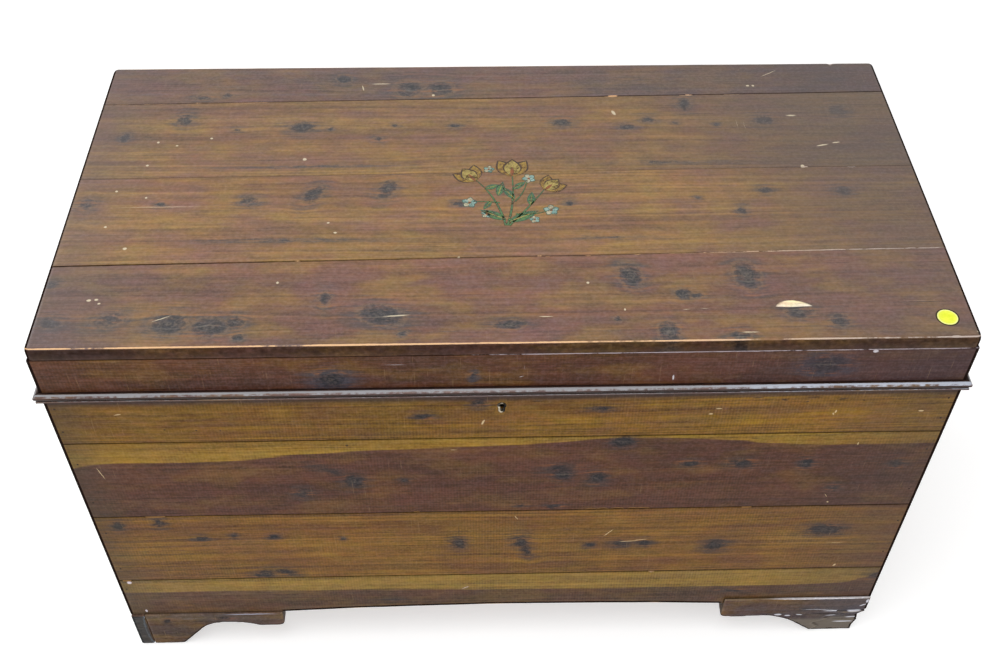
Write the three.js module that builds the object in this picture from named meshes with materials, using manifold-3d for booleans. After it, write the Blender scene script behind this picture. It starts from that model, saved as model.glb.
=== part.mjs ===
import * as THREE from "three";
import { mergeVertices } from "three/addons/utils/BufferGeometryUtils.js";
import Module from "manifold-3d";

// A cedar blanket chest on bracket feet, in millimetres: +X right, +Y back, +Z up.
// The origin lies on the floor, under the middle of the whole chest seen from above.

// Overall sizes, over the boards
const width = 1016;
const depth = 508;
const height = 610;

// Boards and the spaces between them
const caseBoard = 19;
const lidTop = 15.5;
const seam = 0.4;
const fit = 0.3;

// Heights of the case and the lid
const caseBottom = 75;
const lidDepth = 76;
const lidGap = 0.6;

// Seams of each wall, counted from its top edge
const frontSeamShares = [0.1785, 0.4976, 0.813];
const backSeamShares = [0.24, 0.51, 0.77];
const leftSeamShares = [0.27, 0.55, 0.8];
const rightSeamShares = [0.3, 0.56, 0.81];

// Seams of the lid top, counted from the front: at the left end, then at the right end
const lidSeamShares = [
  [0.25, 0.278],
  [0.547, 0.569],
  [0.839, 0.868],
];
const lidEdgeRound = 5;
const lidCornerRound = 7;

// Bead moulding round the lid's lower edge
const beadOut = 6.5;
const beadHeight = 13;
const beadLap = 4;
const beadFit = 0.5;
const beadFillet = 2.6;
const beadFilletOut = 5.2;
const beadQuirk = 0.9;

// Apron arch between the front feet
const archRise = 9;

// Floor, on end cleats and a middle batten
const floorLift = 29;
const floorBoards = 3;
const cleatWide = 22;
const cleatHigh = 19;

// Bracket feet
const footLength = 207;
const sideFootLength = 150;
const footProud = 4;
const footTopLeft = 77;
const footTopRight = 89;
const blockSize = 38;
const blockLift = 3;

// Butt hinges
const hingeInset = 190;
const hingeLength = 76;
const leafThickness = 2;
const knuckleRadius = 4;
const knuckleClear = 0.4;
const knuckles = 5;
const pinRadius = 2.3;
const pinClear = 0.25;
const pinHeadRadius = 3.4;
const pinHead = 1.6;

// Keyhole and its inset brass escutcheon
const keyholeX = -5;
const keyholeDrop = 24.1;
const keyholeRadius = 3.2;
const keyholeSlot = 3.6;
const keyholeTail = 10;
const escutcheonRim = 1.9;
const escutcheonDepth = 4;
const escutcheonProud = 0.3;

// Chest lock in the front wall, and the strike plate above it in the lid
const lockWidth = 56;
const lockHeight = 42;
const lockDepth = 12;
const lockSheet = 1.2;
const lockPlate = 1.8;
const lockPlateWidth = 74;
const stapleOffset = 12;
const stapleThickness = 2.5;
const stapleWall = 1.6;
const stapleClear = 0.4;
const boltClear = 0.5;
const boltFinger = 7;
const boltFingerHeight = 4.2;
const boltTipGap = 0.8;
const boltPost = 4;
const boltBody = 7.8;
const boltTail = 20;
const boltTalon = 7;
const boltTalonHeight = 3;
const springSheet = 0.5;
const springLength = 20;
const springHeight = 5;

// Slotted lid stay inside the right-hand end
const stayReach = 180;
const stayLidDegrees = 8.5;
const stayCaseDegrees = 21.5;
const lidOpenDegrees = 95;
const stayPlate = 2;
const stayPlateLength = 42;
const stayPlateWidth = 16;
const stayStudRadius = 3;
const stayHeadRadius = 6.5;
const stayHead = 1.8;
const stayArm = 2.5;
const stayArmWidth = 15;
const stayClear = 0.6;
const stayHoleClear = 0.4;
const staySlotPlay = 1;

// Vertices closer than this are one vertex
const weld = 0.0001;
// How far a cutter runs past the face that it cuts
const overrun = 5;

const roundSteps = 20;
const quarter = Math.PI / 2;

// Places that several pieces share
const knuckleOut = knuckleClear + knuckleRadius;
const frontFace = -(depth + knuckleOut + knuckleRadius - beadOut) / 2;
const backFace = frontFace + depth;
const frontInner = frontFace + caseBoard;
const backInner = backFace - caseBoard;
const sideFace = width / 2;
const sideInner = sideFace - caseBoard;
const lidBottom = height - lidDepth;
const caseTop = lidBottom - lidGap;
const railTop = height - lidTop - fit;
const floorBottom = caseBottom + floorLift;
const hingeY = backFace + knuckleOut;
const hingeZ = caseTop + lidGap / 2;
const hingeX = sideFace - hingeInset;
const notchDepth = leafThickness + fit;
const notchHalf = hingeLength / 2 + fit;

// Finishes
function finish(color, roughness, metalness) {
  return new THREE.MeshStandardMaterial({ color, roughness, metalness });
}
const ochreCedar = finish(0x7a5a26, 0.45, 0);
const redCedar = finish(0x5d3a24, 0.45, 0);
const lidCedar = finish(0x74491f, 0.4, 0);
const rawCedar = finish(0x9a6b45, 0.8, 0);
const footCedar = finish(0x4e3626, 0.55, 0);
const brass = finish(0x9b7d3c, 0.4, 1);
const steel = finish(0x6f6a62, 0.45, 1);

const wasm = await Module();
wasm.setup();

// Turns a closed geometry into a solid that can be cut and joined.
function solidOf(geometry) {
  const bare = geometry.index ? geometry.toNonIndexed() : geometry.clone();
  bare.deleteAttribute("normal");
  bare.deleteAttribute("uv");
  const merged = mergeVertices(bare, weld);
  return new wasm.Manifold(
    new wasm.Mesh({
      numProp: 3,
      vertProperties: merged.attributes.position.array,
      triVerts: new Uint32Array(merged.index.array),
    }),
  );
}

// Turns a solid back into a geometry.
function geometryOf(solid) {
  const mesh = solid.getMesh();
  const geometry = new THREE.BufferGeometry();
  geometry.setAttribute("position", new THREE.BufferAttribute(mesh.vertProperties, 3));
  geometry.setIndex(new THREE.BufferAttribute(mesh.triVerts, 1));
  geometry.computeVertexNormals();
  return geometry;
}

function namedMesh(name, geometry, material) {
  const mesh = new THREE.Mesh(geometry, material);
  mesh.name = name;
  return mesh;
}

// Outlines
function rectangle(left, low, right, high) {
  const shape = new THREE.Shape();
  shape.moveTo(left, low);
  shape.lineTo(right, low);
  shape.lineTo(right, high);
  shape.lineTo(left, high);
  shape.closePath();
  return shape;
}

function polygon(points) {
  return new THREE.Shape(points.map(([x, y]) => new THREE.Vector2(x, y)));
}

// A flat bar with two round ends, whose end centres lie at start and end.
function stadium(PathClass, start, end, radius) {
  const path = new PathClass();
  path.absarc(end, 0, radius, -quarter, quarter, false);
  path.absarc(start, 0, radius, quarter, 3 * quarter, false);
  path.closePath();
  return path;
}

function circle(PathClass, x, y, radius) {
  const path = new PathClass();
  path.absarc(x, y, radius, 0, 4 * quarter, false);
  return path;
}

function extrude(shape, thickness) {
  return new THREE.ExtrudeGeometry(shape, {
    depth: thickness,
    bevelEnabled: false,
    curveSegments: roundSteps,
  });
}

function block(left, front, low, right, back, high) {
  const box = new THREE.BoxGeometry(right - left, back - front, high - low);
  return box.translate((left + right) / 2, (front + back) / 2, (low + high) / 2);
}

// A board that stands across the chest: its outline is in X and Z, its back face at backY.
function acrossBoard(name, shape, thickness, backY, material) {
  const mesh = namedMesh(name, extrude(shape, thickness), material);
  mesh.rotation.x = quarter;
  mesh.position.y = backY;
  return mesh;
}

// A board that stands along an end: its outline is in Y and Z, its left face at leftX.
function endBoard(name, shape, thickness, leftX, material) {
  const mesh = namedMesh(name, extrude(shape, thickness), material);
  mesh.rotation.set(quarter, 0, quarter, "ZYX");
  mesh.position.x = leftX;
  return mesh;
}

// The same standing positions as geometry, for pieces that are cut or joined.
function acrossGeometry(shape, thickness, backY) {
  return extrude(shape, thickness).rotateX(quarter).translate(0, backY, 0);
}

function endGeometry(shape, thickness, leftX) {
  return extrude(shape, thickness).rotateX(quarter).rotateZ(quarter).translate(leftX, 0, 0);
}

// Low and high edge of each board in a wall, from its top board down.
function boardSpans(shares) {
  const edges = [0, ...shares, 1].map((share) => caseTop - share * (caseTop - caseBottom));
  return edges.slice(1).map((low, index) => ({
    low: index === shares.length ? low : low + seam / 2,
    high: index === 0 ? edges[index] : edges[index] - seam / 2,
  }));
}

// A keyhole, or the rim round it: a round eye with a slot below. Grow widens both.
function keyhole(PathClass, x, z, grow) {
  const radius = keyholeRadius + grow;
  const half = keyholeSlot / 2 + grow;
  const tail = z - keyholeTail + keyholeSlot / 2;
  const lean = Math.asin(half / radius);
  const path = new PathClass();
  path.absarc(x, z, radius, lean - quarter, 3 * quarter - lean, false);
  path.absarc(x, tail, half, 2 * quarter, 4 * quarter, false);
  path.closePath();
  return path;
}

const chest = new THREE.Group();
const caseGroup = new THREE.Group();
const lidGroup = new THREE.Group();
chest.add(caseGroup, lidGroup);

// Front wall: four boards, the top one holding the lock, the lowest with the apron arch
const keyholeZ = caseTop - keyholeDrop;
const frontSpans = boardSpans(frontSeamShares);
const frontOutlines = frontSpans.map(({ low, high }) =>
  rectangle(-sideFace, low, sideFace, high),
);

function archedOutline({ high }) {
  const half = sideFace - footLength;
  const shape = new THREE.Shape();
  shape.moveTo(-sideFace, caseBottom);
  shape.lineTo(-half, caseBottom);
  shape.quadraticCurveTo(0, caseBottom + 2 * archRise, half, caseBottom);
  shape.lineTo(sideFace, caseBottom);
  shape.lineTo(sideFace, high);
  shape.lineTo(-sideFace, high);
  shape.closePath();
  return shape;
}
frontOutlines[frontOutlines.length - 1] = archedOutline(frontSpans[frontSpans.length - 1]);

// The top board's cuts: a mortise for the lock, a shallow one for its plate, the keyhole
// and the seat of the escutcheon.
function lockBoard() {
  const plateHalf = lockPlateWidth / 2 + fit;
  const worksHalf = lockWidth / 2 + fit;
  const low = caseTop - lockHeight - fit;
  const high = caseTop + overrun;
  const inside = frontInner + overrun;
  const seatBack = frontFace + escutcheonDepth + fit;
  const holeThick = caseBoard + 2 * overrun;
  const cutters = [
    block(
      keyholeX - worksHalf, frontInner - lockDepth - fit, low,
      keyholeX + worksHalf, inside, high,
    ),
    block(
      keyholeX - plateHalf, frontInner - lockPlate - fit, low,
      keyholeX + plateHalf, inside, high,
    ),
    block(
      keyholeX - plateHalf, frontInner - lockDepth - fit, caseTop - lockPlate - fit,
      keyholeX + plateHalf, inside, high,
    ),
    acrossGeometry(keyhole(THREE.Shape, keyholeX, keyholeZ, 0), holeThick, frontInner + overrun),
    acrossGeometry(
      keyhole(THREE.Shape, keyholeX, keyholeZ, escutcheonRim + fit),
      escutcheonDepth + fit + overrun,
      seatBack,
    ),
  ];
  const plank = solidOf(acrossGeometry(frontOutlines[0], caseBoard, frontInner));
  return geometryOf(cutters.reduce((solid, cutter) => solid.subtract(solidOf(cutter)), plank));
}

frontOutlines.forEach((outline, index) => {
  const name = `front_board_${index + 1}`;
  const material = index % 2 ? redCedar : ochreCedar;
  caseGroup.add(
    index === 0
      ? namedMesh(name, lockBoard(), material)
      : acrossBoard(name, outline, caseBoard, frontInner, material),
  );
});

// An outline with a notch for each hinge leaf in its top or its bottom edge.
function notchedOutline(low, high, notchAtTop) {
  const places = [-hingeX, hingeX];
  const edge = notchAtTop ? high : low;
  const inner = notchAtTop ? high - notchDepth : low + notchDepth;
  const run = places.flatMap((x) => [
    [x - notchHalf, edge],
    [x - notchHalf, inner],
    [x + notchHalf, inner],
    [x + notchHalf, edge],
  ]);
  const other = notchAtTop ? low : high;
  return polygon([[-sideFace, edge], ...run, [sideFace, edge], [sideFace, other], [-sideFace, other]]);
}

// Back wall: four boards, the top one notched for the hinges
boardSpans(backSeamShares).forEach(({ low, high }, index) => {
  const outline =
    index === 0 ? notchedOutline(low, high, true) : rectangle(-sideFace, low, sideFace, high);
  caseGroup.add(
    acrossBoard(`back_board_${index + 1}`, outline, caseBoard, backFace, redCedar),
  );
});

// End walls: four boards each, held between the front and back boards
const ends = [
  { side: "left", shares: leftSeamShares, leftX: -sideFace },
  { side: "right", shares: rightSeamShares, leftX: sideInner },
];
ends.forEach(({ side, shares, leftX }) => {
  boardSpans(shares).forEach(({ low, high }, index) => {
    const outline = rectangle(frontInner + fit, low, backInner - fit, high);
    caseGroup.add(
      endBoard(`${side}_board_${index + 1}`, outline, caseBoard, leftX, redCedar),
    );
  });
});

// Floor: boards along the chest, carried by a cleat at each end and a batten in the middle
const floorFront = frontInner + fit;
const floorPitch = (backInner - frontInner - 2 * fit + seam) / floorBoards;
for (let index = 0; index < floorBoards; index += 1) {
  const front = floorFront + index * floorPitch;
  const outline = rectangle(-sideInner + fit, front, sideInner - fit, front + floorPitch - seam);
  const mesh = namedMesh(`floor_board_${index + 1}`, extrude(outline, caseBoard), rawCedar);
  mesh.position.z = floorBottom;
  caseGroup.add(mesh);
}

const cleatTop = floorBottom - fit;
const cleatOutline = rectangle(
  frontInner + blockSize + 2 * fit, cleatTop - cleatHigh,
  backInner - blockSize - 2 * fit, cleatTop,
);
caseGroup.add(
  endBoard("floor_cleat_left", cleatOutline, cleatWide, -sideInner + fit, rawCedar),
  endBoard("floor_cleat_right", cleatOutline, cleatWide, sideInner - fit - cleatWide, rawCedar),
);
const battenOutline = rectangle(
  frontInner + fit, cleatTop - cleatHigh, backInner - fit, cleatTop,
);
caseGroup.add(
  endBoard("floor_batten", battenOutline, 2 * cleatWide, -cleatWide, rawCedar),
);

// Curve under a bracket foot, from its pad to its tip, as shares of its length and height.
// The left front foot and the plain ones have a crest; the right front one rises flatter.
const crestedCurveShares = {
  pad: 0.295,
  rise: [0.46, 0.56],
  shoulder: [0.52, 0.72],
  crest: [0.635, 0.72],
  dip: [0.76, 0.7],
  belly: [0.83, 0.587],
  toe: [0.955, 0.587],
  tip: [1, 0.7],
};
const flatCurveShares = {
  pad: 0.33,
  rise: [0.48, 0.36],
  shoulder: [0.58, 0.55],
  crest: [0.66, 0.585],
  dip: [0.76, 0.6],
  belly: [0.87, 0.56],
  toe: [0.955, 0.59],
  tip: [0.985, 0.68],
};

// Outline of a bracket foot from its corner at u = 0, towards +u or -u as turn says.
function bracketOutline(shares, corner, start, length, foot, top, turn) {
  const along = (share) => corner + turn * share * length;
  const up = (share) => share * foot;
  const shape = new THREE.Shape();
  shape.moveTo(corner + turn * start, 0);
  shape.lineTo(along(shares.pad), 0);
  shape.lineTo(along(shares.rise[0]), up(shares.rise[1]));
  shape.quadraticCurveTo(
    along(shares.shoulder[0]), up(shares.shoulder[1]),
    along(shares.crest[0]), up(shares.crest[1]),
  );
  shape.quadraticCurveTo(
    along(shares.dip[0]), up(shares.dip[1]),
    along(shares.belly[0]), up(shares.belly[1]),
  );
  shape.lineTo(along(shares.toe[0]), up(shares.toe[1]));
  shape.quadraticCurveTo(
    along(shares.tip[0]), up(shares.toe[1]),
    along(shares.tip[0]), up(shares.tip[1]),
  );
  shape.lineTo(along(shares.tip[0]), top);
  shape.lineTo(corner + turn * start, top);
  shape.closePath();
  return shape;
}

// Front feet: the face stands proud and laps the lowest front board, while the
// thickness behind it sits under that board.
const footTop = caseBottom - fit;
const footFront = frontFace - footProud;
function frontBracket(name, shares, turn, start, top) {
  const outline = (high) =>
    bracketOutline(shares, -turn * sideFace, start, footLength, caseBottom, high, turn);
  const body = solidOf(acrossGeometry(outline(footTop), caseBoard, footFront + caseBoard));
  const lap = solidOf(acrossGeometry(outline(top), footProud - fit, frontFace - fit));
  return namedMesh(name, geometryOf(body.add(lap)), footCedar);
}

// At the left corner the side bracket runs through to the front; at the right corner
// the front bracket does.
caseGroup.add(
  frontBracket("foot_front_left", crestedCurveShares, 1, caseBoard + fit, footTopLeft),
  frontBracket("foot_front_right", flatCurveShares, -1, 0, footTopRight),
);

// Side and back brackets, flush with the walls above them
function sideBracket(name, leftX, cornerY, start, turn) {
  const outline = bracketOutline(
    crestedCurveShares, cornerY, start, sideFootLength, caseBottom, footTop, turn,
  );
  return endBoard(name, outline, caseBoard, leftX, footCedar);
}
caseGroup.add(
  sideBracket("foot_side_left_front", -sideFace, footFront, 0, 1),
  sideBracket("foot_side_right_front", sideInner, footFront, caseBoard + fit, 1),
  sideBracket("foot_side_left_back", -sideFace, backFace, caseBoard + fit, -1),
  sideBracket("foot_side_right_back", sideInner, backFace, caseBoard + fit, -1),
);
[
  ["foot_back_left", 1],
  ["foot_back_right", -1],
].forEach(([name, turn]) => {
  const outline = bracketOutline(
    crestedCurveShares, -turn * sideFace, 0, footLength, caseBottom, footTop, turn,
  );
  caseGroup.add(acrossBoard(name, outline, caseBoard, backFace, footCedar));
});

// Glue blocks in the four corners, behind the brackets and the lowest wall boards
const blockHigh = floorBottom - fit;
const blockX = sideInner - fit - blockSize;
const blockFront = frontInner + fit;
const blockBack = backInner - fit - blockSize;
[
  ["glue_block_front_left", -blockX - blockSize, blockFront],
  ["glue_block_front_right", blockX, blockFront],
  ["glue_block_back_left", -blockX - blockSize, blockBack],
  ["glue_block_back_right", blockX, blockBack],
].forEach(([name, left, front]) => {
  const outline = rectangle(left, front, left + blockSize, front + blockSize);
  const mesh = namedMesh(name, extrude(outline, blockHigh - blockLift), rawCedar);
  mesh.position.z = blockLift;
  caseGroup.add(mesh);
});

// Lid top: four boards cut from one slab with a rounded upper edge, along slanted seams
function roundedSlab() {
  const outline = new THREE.Shape();
  const r = lidCornerRound;
  outline.moveTo(-sideFace + r, frontFace);
  outline.lineTo(sideFace - r, frontFace);
  outline.absarc(sideFace - r, frontFace + r, r, -quarter, 0, false);
  outline.lineTo(sideFace, backFace - r);
  outline.absarc(sideFace - r, backFace - r, r, 0, quarter, false);
  outline.lineTo(-sideFace + r, backFace);
  outline.absarc(-sideFace + r, backFace - r, r, quarter, 2 * quarter, false);
  outline.lineTo(-sideFace, frontFace + r);
  outline.absarc(-sideFace + r, frontFace + r, r, 2 * quarter, 3 * quarter, false);
  const slab = new THREE.ExtrudeGeometry(outline, {
    depth: lidTop,
    bevelThickness: lidEdgeRound,
    bevelSize: lidEdgeRound,
    bevelOffset: -lidEdgeRound,
    bevelSegments: 3,
    curveSegments: 3,
  });
  return solidOf(slab.translate(0, 0, height - lidTop - lidEdgeRound));
}

const slab = roundedSlab();
const seamLines = [
  [frontFace - overrun, frontFace - overrun],
  ...lidSeamShares.map((pair) => pair.map((share) => frontFace + share * depth)),
  [backFace + overrun, backFace + overrun],
];
seamLines.slice(1).forEach(([backLeft, backRight], index) => {
  const [frontLeft, frontRight] = seamLines[index];
  const half = seam / 2;
  const outline = polygon([
    [-sideFace, frontLeft + half],
    [sideFace, frontRight + half],
    [sideFace, backRight - half],
    [-sideFace, backLeft - half],
  ]);
  const prism = extrude(outline, lidTop + overrun).translate(0, 0, height - lidTop);
  const board = slab.intersect(solidOf(prism));
  lidGroup.add(namedMesh(`lid_board_${index + 1}`, geometryOf(board), lidCedar));
});

// Lid rails: front and back run the whole width, the end rails fit between them
const strikeHalf = stapleOffset + lockDepth;
function strikeRail() {
  const outline = rectangle(-sideFace, lidBottom, sideFace, railTop);
  const seat = block(
    keyholeX - strikeHalf - fit, frontInner - lockDepth - fit, lidBottom - overrun,
    keyholeX + strikeHalf + fit, frontInner + overrun, lidBottom + lockPlate + fit,
  );
  const rail = solidOf(acrossGeometry(outline, caseBoard, frontInner));
  return geometryOf(rail.subtract(solidOf(seat)));
}
const endRailOutline = rectangle(frontInner + fit, lidBottom, backInner - fit, railTop);
lidGroup.add(
  namedMesh("lid_rail_front", strikeRail(), redCedar),
  acrossBoard(
    "lid_rail_back", notchedOutline(lidBottom, railTop, false), caseBoard, backFace, redCedar,
  ),
  endBoard("lid_rail_left", endRailOutline, caseBoard, -sideFace, redCedar),
  endBoard("lid_rail_right", endRailOutline, caseBoard, sideInner, redCedar),
);

// Bead moulding: a half round over a small fillet, in outward distance and height
function beadProfile() {
  const low = lidBottom - beadLap;
  const roundLow = low + beadFillet + beadQuirk;
  const roundHigh = low + beadHeight;
  const middle = (roundLow + roundHigh) / 2;
  const shape = new THREE.Shape();
  shape.moveTo(beadFit, low);
  shape.lineTo(beadFilletOut, low);
  shape.lineTo(beadFilletOut, low + beadFillet);
  shape.lineTo(beadFilletOut - beadQuirk, low + beadFillet);
  shape.lineTo(beadFilletOut - beadQuirk, roundLow);
  shape.bezierCurveTo(beadOut, roundLow, beadOut, middle, beadOut, middle);
  shape.bezierCurveTo(beadOut, roundHigh, beadFilletOut, roundHigh, beadFit, roundHigh);
  shape.closePath();
  return shape;
}

// One length of bead, mitred at its start or its end, turned to its side of the lid.
function bead(name, length, mitredStart, mitredEnd, turn, x, y) {
  const geometry = new THREE.ExtrudeGeometry(beadProfile(), {
    depth: length,
    bevelEnabled: false,
    curveSegments: roundSteps / 4,
  });
  const place = geometry.attributes.position;
  for (let index = 0; index < place.count; index += 1) {
    const out = place.getX(index) - fit;
    const atEnd = place.getZ(index) > length / 2;
    if (atEnd && mitredEnd) place.setZ(index, length + out);
    if (!atEnd && mitredStart) place.setZ(index, -out);
  }
  const mesh = namedMesh(name, geometry, redCedar);
  mesh.rotation.set(quarter, 0, turn, "ZYX");
  mesh.position.set(x, y, 0);
  return mesh;
}
lidGroup.add(
  bead("bead_front", width, true, true, -quarter, sideFace, frontFace),
  bead("bead_right", depth, false, true, 0, sideFace, backFace),
  bead("bead_left", depth, true, false, 2 * quarter, -sideFace, frontFace),
);

// Butt hinges: a leaf in the case, a leaf in the lid, and the pin through their knuckles.
// Lengths here are measured from the hinge pin.
function hingeLeaf(own, up) {
  const edge = lidGap / 2;
  const low = up ? edge : -edge - leafThickness;
  const high = low + leafThickness;
  const plate = block(
    -hingeLength / 2, -knuckleOut - caseBoard, low,
    hingeLength / 2, -knuckleOut, high,
  );
  const pitch = (hingeLength + fit) / knuckles;
  const ring = circle(THREE.Shape, 0, 0, knuckleRadius);
  ring.holes.push(circle(THREE.Path, 0, 0, pinRadius + pinClear));
  const wallMiddle = (knuckleRadius + pinRadius + pinClear) / 2;
  return geometryOf(
    own.reduce((solid, index) => {
      const left = -hingeLength / 2 + index * pitch;
      const right = left + pitch - fit;
      const eye = extrude(ring, pitch - fit).rotateY(quarter).translate(left, 0, 0);
      const tongue = block(left, -knuckleOut - leafThickness, low, right, -wallMiddle, high);
      return solid.add(solidOf(eye)).add(solidOf(tongue));
    }, solidOf(plate)),
  );
}

function hingePin() {
  const half = hingeLength / 2 + fit;
  const profile = [
    [0, -half - pinHead],
    [pinHeadRadius, -half - pinHead],
    [pinHeadRadius, -half],
    [pinRadius, -half],
    [pinRadius, half],
    [pinHeadRadius, half],
    [pinHeadRadius, half + pinHead],
    [0, half + pinHead],
  ].map(([x, y]) => new THREE.Vector2(x, y));
  return new THREE.LatheGeometry(profile, roundSteps).rotateZ(-quarter);
}

[
  ["left", -hingeX],
  ["right", hingeX],
].forEach(([side, x]) => {
  const hinge = new THREE.Group();
  hinge.position.set(x, hingeY, hingeZ);
  hinge.add(
    namedMesh(`hinge_case_leaf_${side}`, hingeLeaf([0, 2, 4], false), steel),
    namedMesh(`hinge_lid_leaf_${side}`, hingeLeaf([1, 3], true), steel),
    namedMesh(`hinge_pin_${side}`, hingePin(), steel),
  );
  chest.add(hinge);
});

// Chest lock. Its own zero is the keyhole's middle in X, the inner face of the front wall
// in Y and the top edge of that wall in Z.
const lock = new THREE.Group();
lock.position.set(keyholeX, frontInner, caseTop);
chest.add(lock);

const worksDepth = lockDepth - lockSheet - lockPlate;
const worksY = -lockPlate - worksDepth / 2;
const stapleDepth = worksDepth - 2 * stapleClear;
const eyeDepth = stapleDepth - 2 * stapleWall;
const boltThickness = eyeDepth - 2 * boltClear;
const fingerHigh = -lockPlate - stapleClear;
const fingerLow = fingerHigh - boltFingerHeight;
const stapleLow = fingerLow - boltClear - stapleWall;
const bodyHigh = stapleLow - boltClear;
const bodyLow = bodyHigh - boltBody;

function lockPlateGeometry() {
  const half = lockPlateWidth / 2;
  const slotHalf = stapleThickness / 2 + boltClear;
  const plate = solidOf(block(-half, -lockPlate, -lockHeight, half, 0, 0));
  const selvedge = solidOf(block(-half, -lockDepth, -lockPlate, half, 0, 0));
  return geometryOf(
    [-stapleOffset, stapleOffset].reduce((solid, x) => {
      const slot = block(
        x - slotHalf, -lockPlate - worksDepth, -lockPlate - overrun,
        x + slotHalf, -lockPlate, overrun,
      );
      return solid.subtract(solidOf(slot));
    }, plate.add(selvedge)),
  );
}

function lockCaseGeometry() {
  const half = lockWidth / 2;
  const back = -lockPlate - fit;
  const outer = solidOf(block(-half, -lockDepth, -lockHeight, half, back, back));
  const hollow = block(
    -half + lockSheet, -lockDepth + lockSheet, -lockHeight + lockSheet,
    half - lockSheet, overrun, overrun,
  );
  const hole = acrossGeometry(
    keyhole(THREE.Shape, 0, -keyholeDrop, 0), 2 * overrun, -lockDepth + overrun,
  );
  return geometryOf(outer.subtract(solidOf(hollow)).subtract(solidOf(hole)));
}

function boltOutline() {
  const hooks = [-stapleOffset, stapleOffset].map((x) => {
    const tip = x - stapleThickness / 2 - boltTipGap;
    const root = tip - boltFinger;
    return { tip, root, back: root - boltPost };
  });
  const [first, second] = hooks;
  const talon = boltTalon / 2;
  const hookPoints = ({ tip, root, back }) => [
    [root, bodyHigh],
    [root, fingerLow],
    [tip, fingerLow],
    [tip, fingerHigh],
    [back, fingerHigh],
  ];
  return polygon([
    [first.back, bodyLow],
    [-talon, bodyLow],
    [-talon, bodyLow + boltTalonHeight],
    [talon, bodyLow + boltTalonHeight],
    [talon, bodyLow],
    [boltTail, bodyLow],
    [boltTail, bodyHigh],
    ...hookPoints(second),
    [second.back, bodyHigh],
    ...hookPoints(first),
  ]);
}

// A thin bowed strip between the bolt and the front of the lock case, which holds the
// bolt where the key leaves it.
function boltSpringGeometry() {
  const bow = worksDepth / 2 - boltThickness / 2 - 2 * fit - springSheet;
  const half = springLength / 2;
  const shape = new THREE.Shape();
  shape.moveTo(-half, 0);
  shape.quadraticCurveTo(0, -2 * bow, half, 0);
  shape.lineTo(half, -springSheet);
  shape.quadraticCurveTo(0, -2 * bow - springSheet, -half, -springSheet);
  shape.closePath();
  return new THREE.ExtrudeGeometry(shape, {
    depth: springHeight,
    bevelEnabled: false,
    curveSegments: roundSteps / 2,
  });
}

// Strike plate in the lid rail, with the two staples that drop into the lock
function strikeGeometry() {
  const plate = solidOf(
    block(-strikeHalf, -lockDepth, lidGap, strikeHalf, 0, lidGap + lockPlate),
  );
  const front = worksY - stapleDepth / 2;
  const eyeFront = worksY - eyeDepth / 2;
  return geometryOf(
    [-stapleOffset, stapleOffset].reduce((solid, x) => {
      const tab = rectangle(front, stapleLow, front + stapleDepth, lidGap + lockPlate / 2);
      const eyeHigh = fingerHigh + boltClear;
      const eyeLow = fingerLow - boltClear;
      tab.holes.push(rectangle(eyeFront, eyeLow, eyeFront + eyeDepth, eyeHigh));
      return solid.add(solidOf(endGeometry(tab, stapleThickness, x - stapleThickness / 2)));
    }, plate),
  );
}

const bolt = acrossBoard(
  "lock_bolt", boltOutline(), boltThickness, worksY + boltThickness / 2, brass,
);
const boltSpring = namedMesh("lock_bolt_spring", boltSpringGeometry(), brass);
boltSpring.position.set(
  -stapleOffset, worksY - boltThickness / 2 - fit, (bodyHigh + bodyLow - springHeight) / 2,
);
lock.add(
  namedMesh("lock_plate", lockPlateGeometry(), brass),
  namedMesh("lock_case", lockCaseGeometry(), brass),
  bolt,
  boltSpring,
  namedMesh("lock_strike", strikeGeometry(), brass),
);

const escutcheonShape = keyhole(THREE.Shape, keyholeX, keyholeZ, escutcheonRim);
escutcheonShape.holes.push(keyhole(THREE.Path, keyholeX, keyholeZ, 0));
chest.add(
  acrossBoard(
    "keyhole_escutcheon", escutcheonShape, escutcheonDepth + escutcheonProud,
    frontFace + escutcheonDepth, brass,
  ),
);

// Lid stay. Its own zero is the hinge pin's line in Y and Z and the inner face of the
// right-hand end in X. Both of its studs lie at the same reach from the hinge line, so the
// arm turns by half of the lid's angle and always points through both.
const stay = new THREE.Group();
stay.position.set(sideInner, hingeY, hingeZ);
chest.add(stay);

const lidAngle = THREE.MathUtils.degToRad(stayLidDegrees);
const caseAngle = THREE.MathUtils.degToRad(stayCaseDegrees);
const openAngle = THREE.MathUtils.degToRad(lidOpenDegrees);
const studSpan = (angle) => 2 * stayReach * Math.sin((lidAngle + caseAngle + angle) / 2);
const lidStud = new THREE.Vector3(
  0, -stayReach * Math.cos(lidAngle), stayReach * Math.sin(lidAngle),
);
const caseStud = new THREE.Vector3(
  0, -stayReach * Math.cos(caseAngle), -stayReach * Math.sin(caseAngle),
);

function studGeometry() {
  const plateIn = fit + stayPlate;
  const headIn = plateIn + stayArm + 2 * stayClear;
  const profile = [
    [0, fit + stayPlate / 2],
    [stayStudRadius, fit + stayPlate / 2],
    [stayStudRadius, headIn],
    [stayHeadRadius, headIn],
    [stayHeadRadius, headIn + stayHead],
    [0, headIn + stayHead],
  ].map(([x, y]) => new THREE.Vector2(x, y));
  const stud = new THREE.LatheGeometry(profile, roundSteps).rotateZ(quarter);
  const bar = (stayPlateLength - stayPlateWidth) / 2;
  const plate = endGeometry(stadium(THREE.Shape, -bar, bar, stayPlateWidth / 2), stayPlate, -plateIn);
  return geometryOf(solidOf(stud).add(solidOf(plate)));
}

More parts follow.
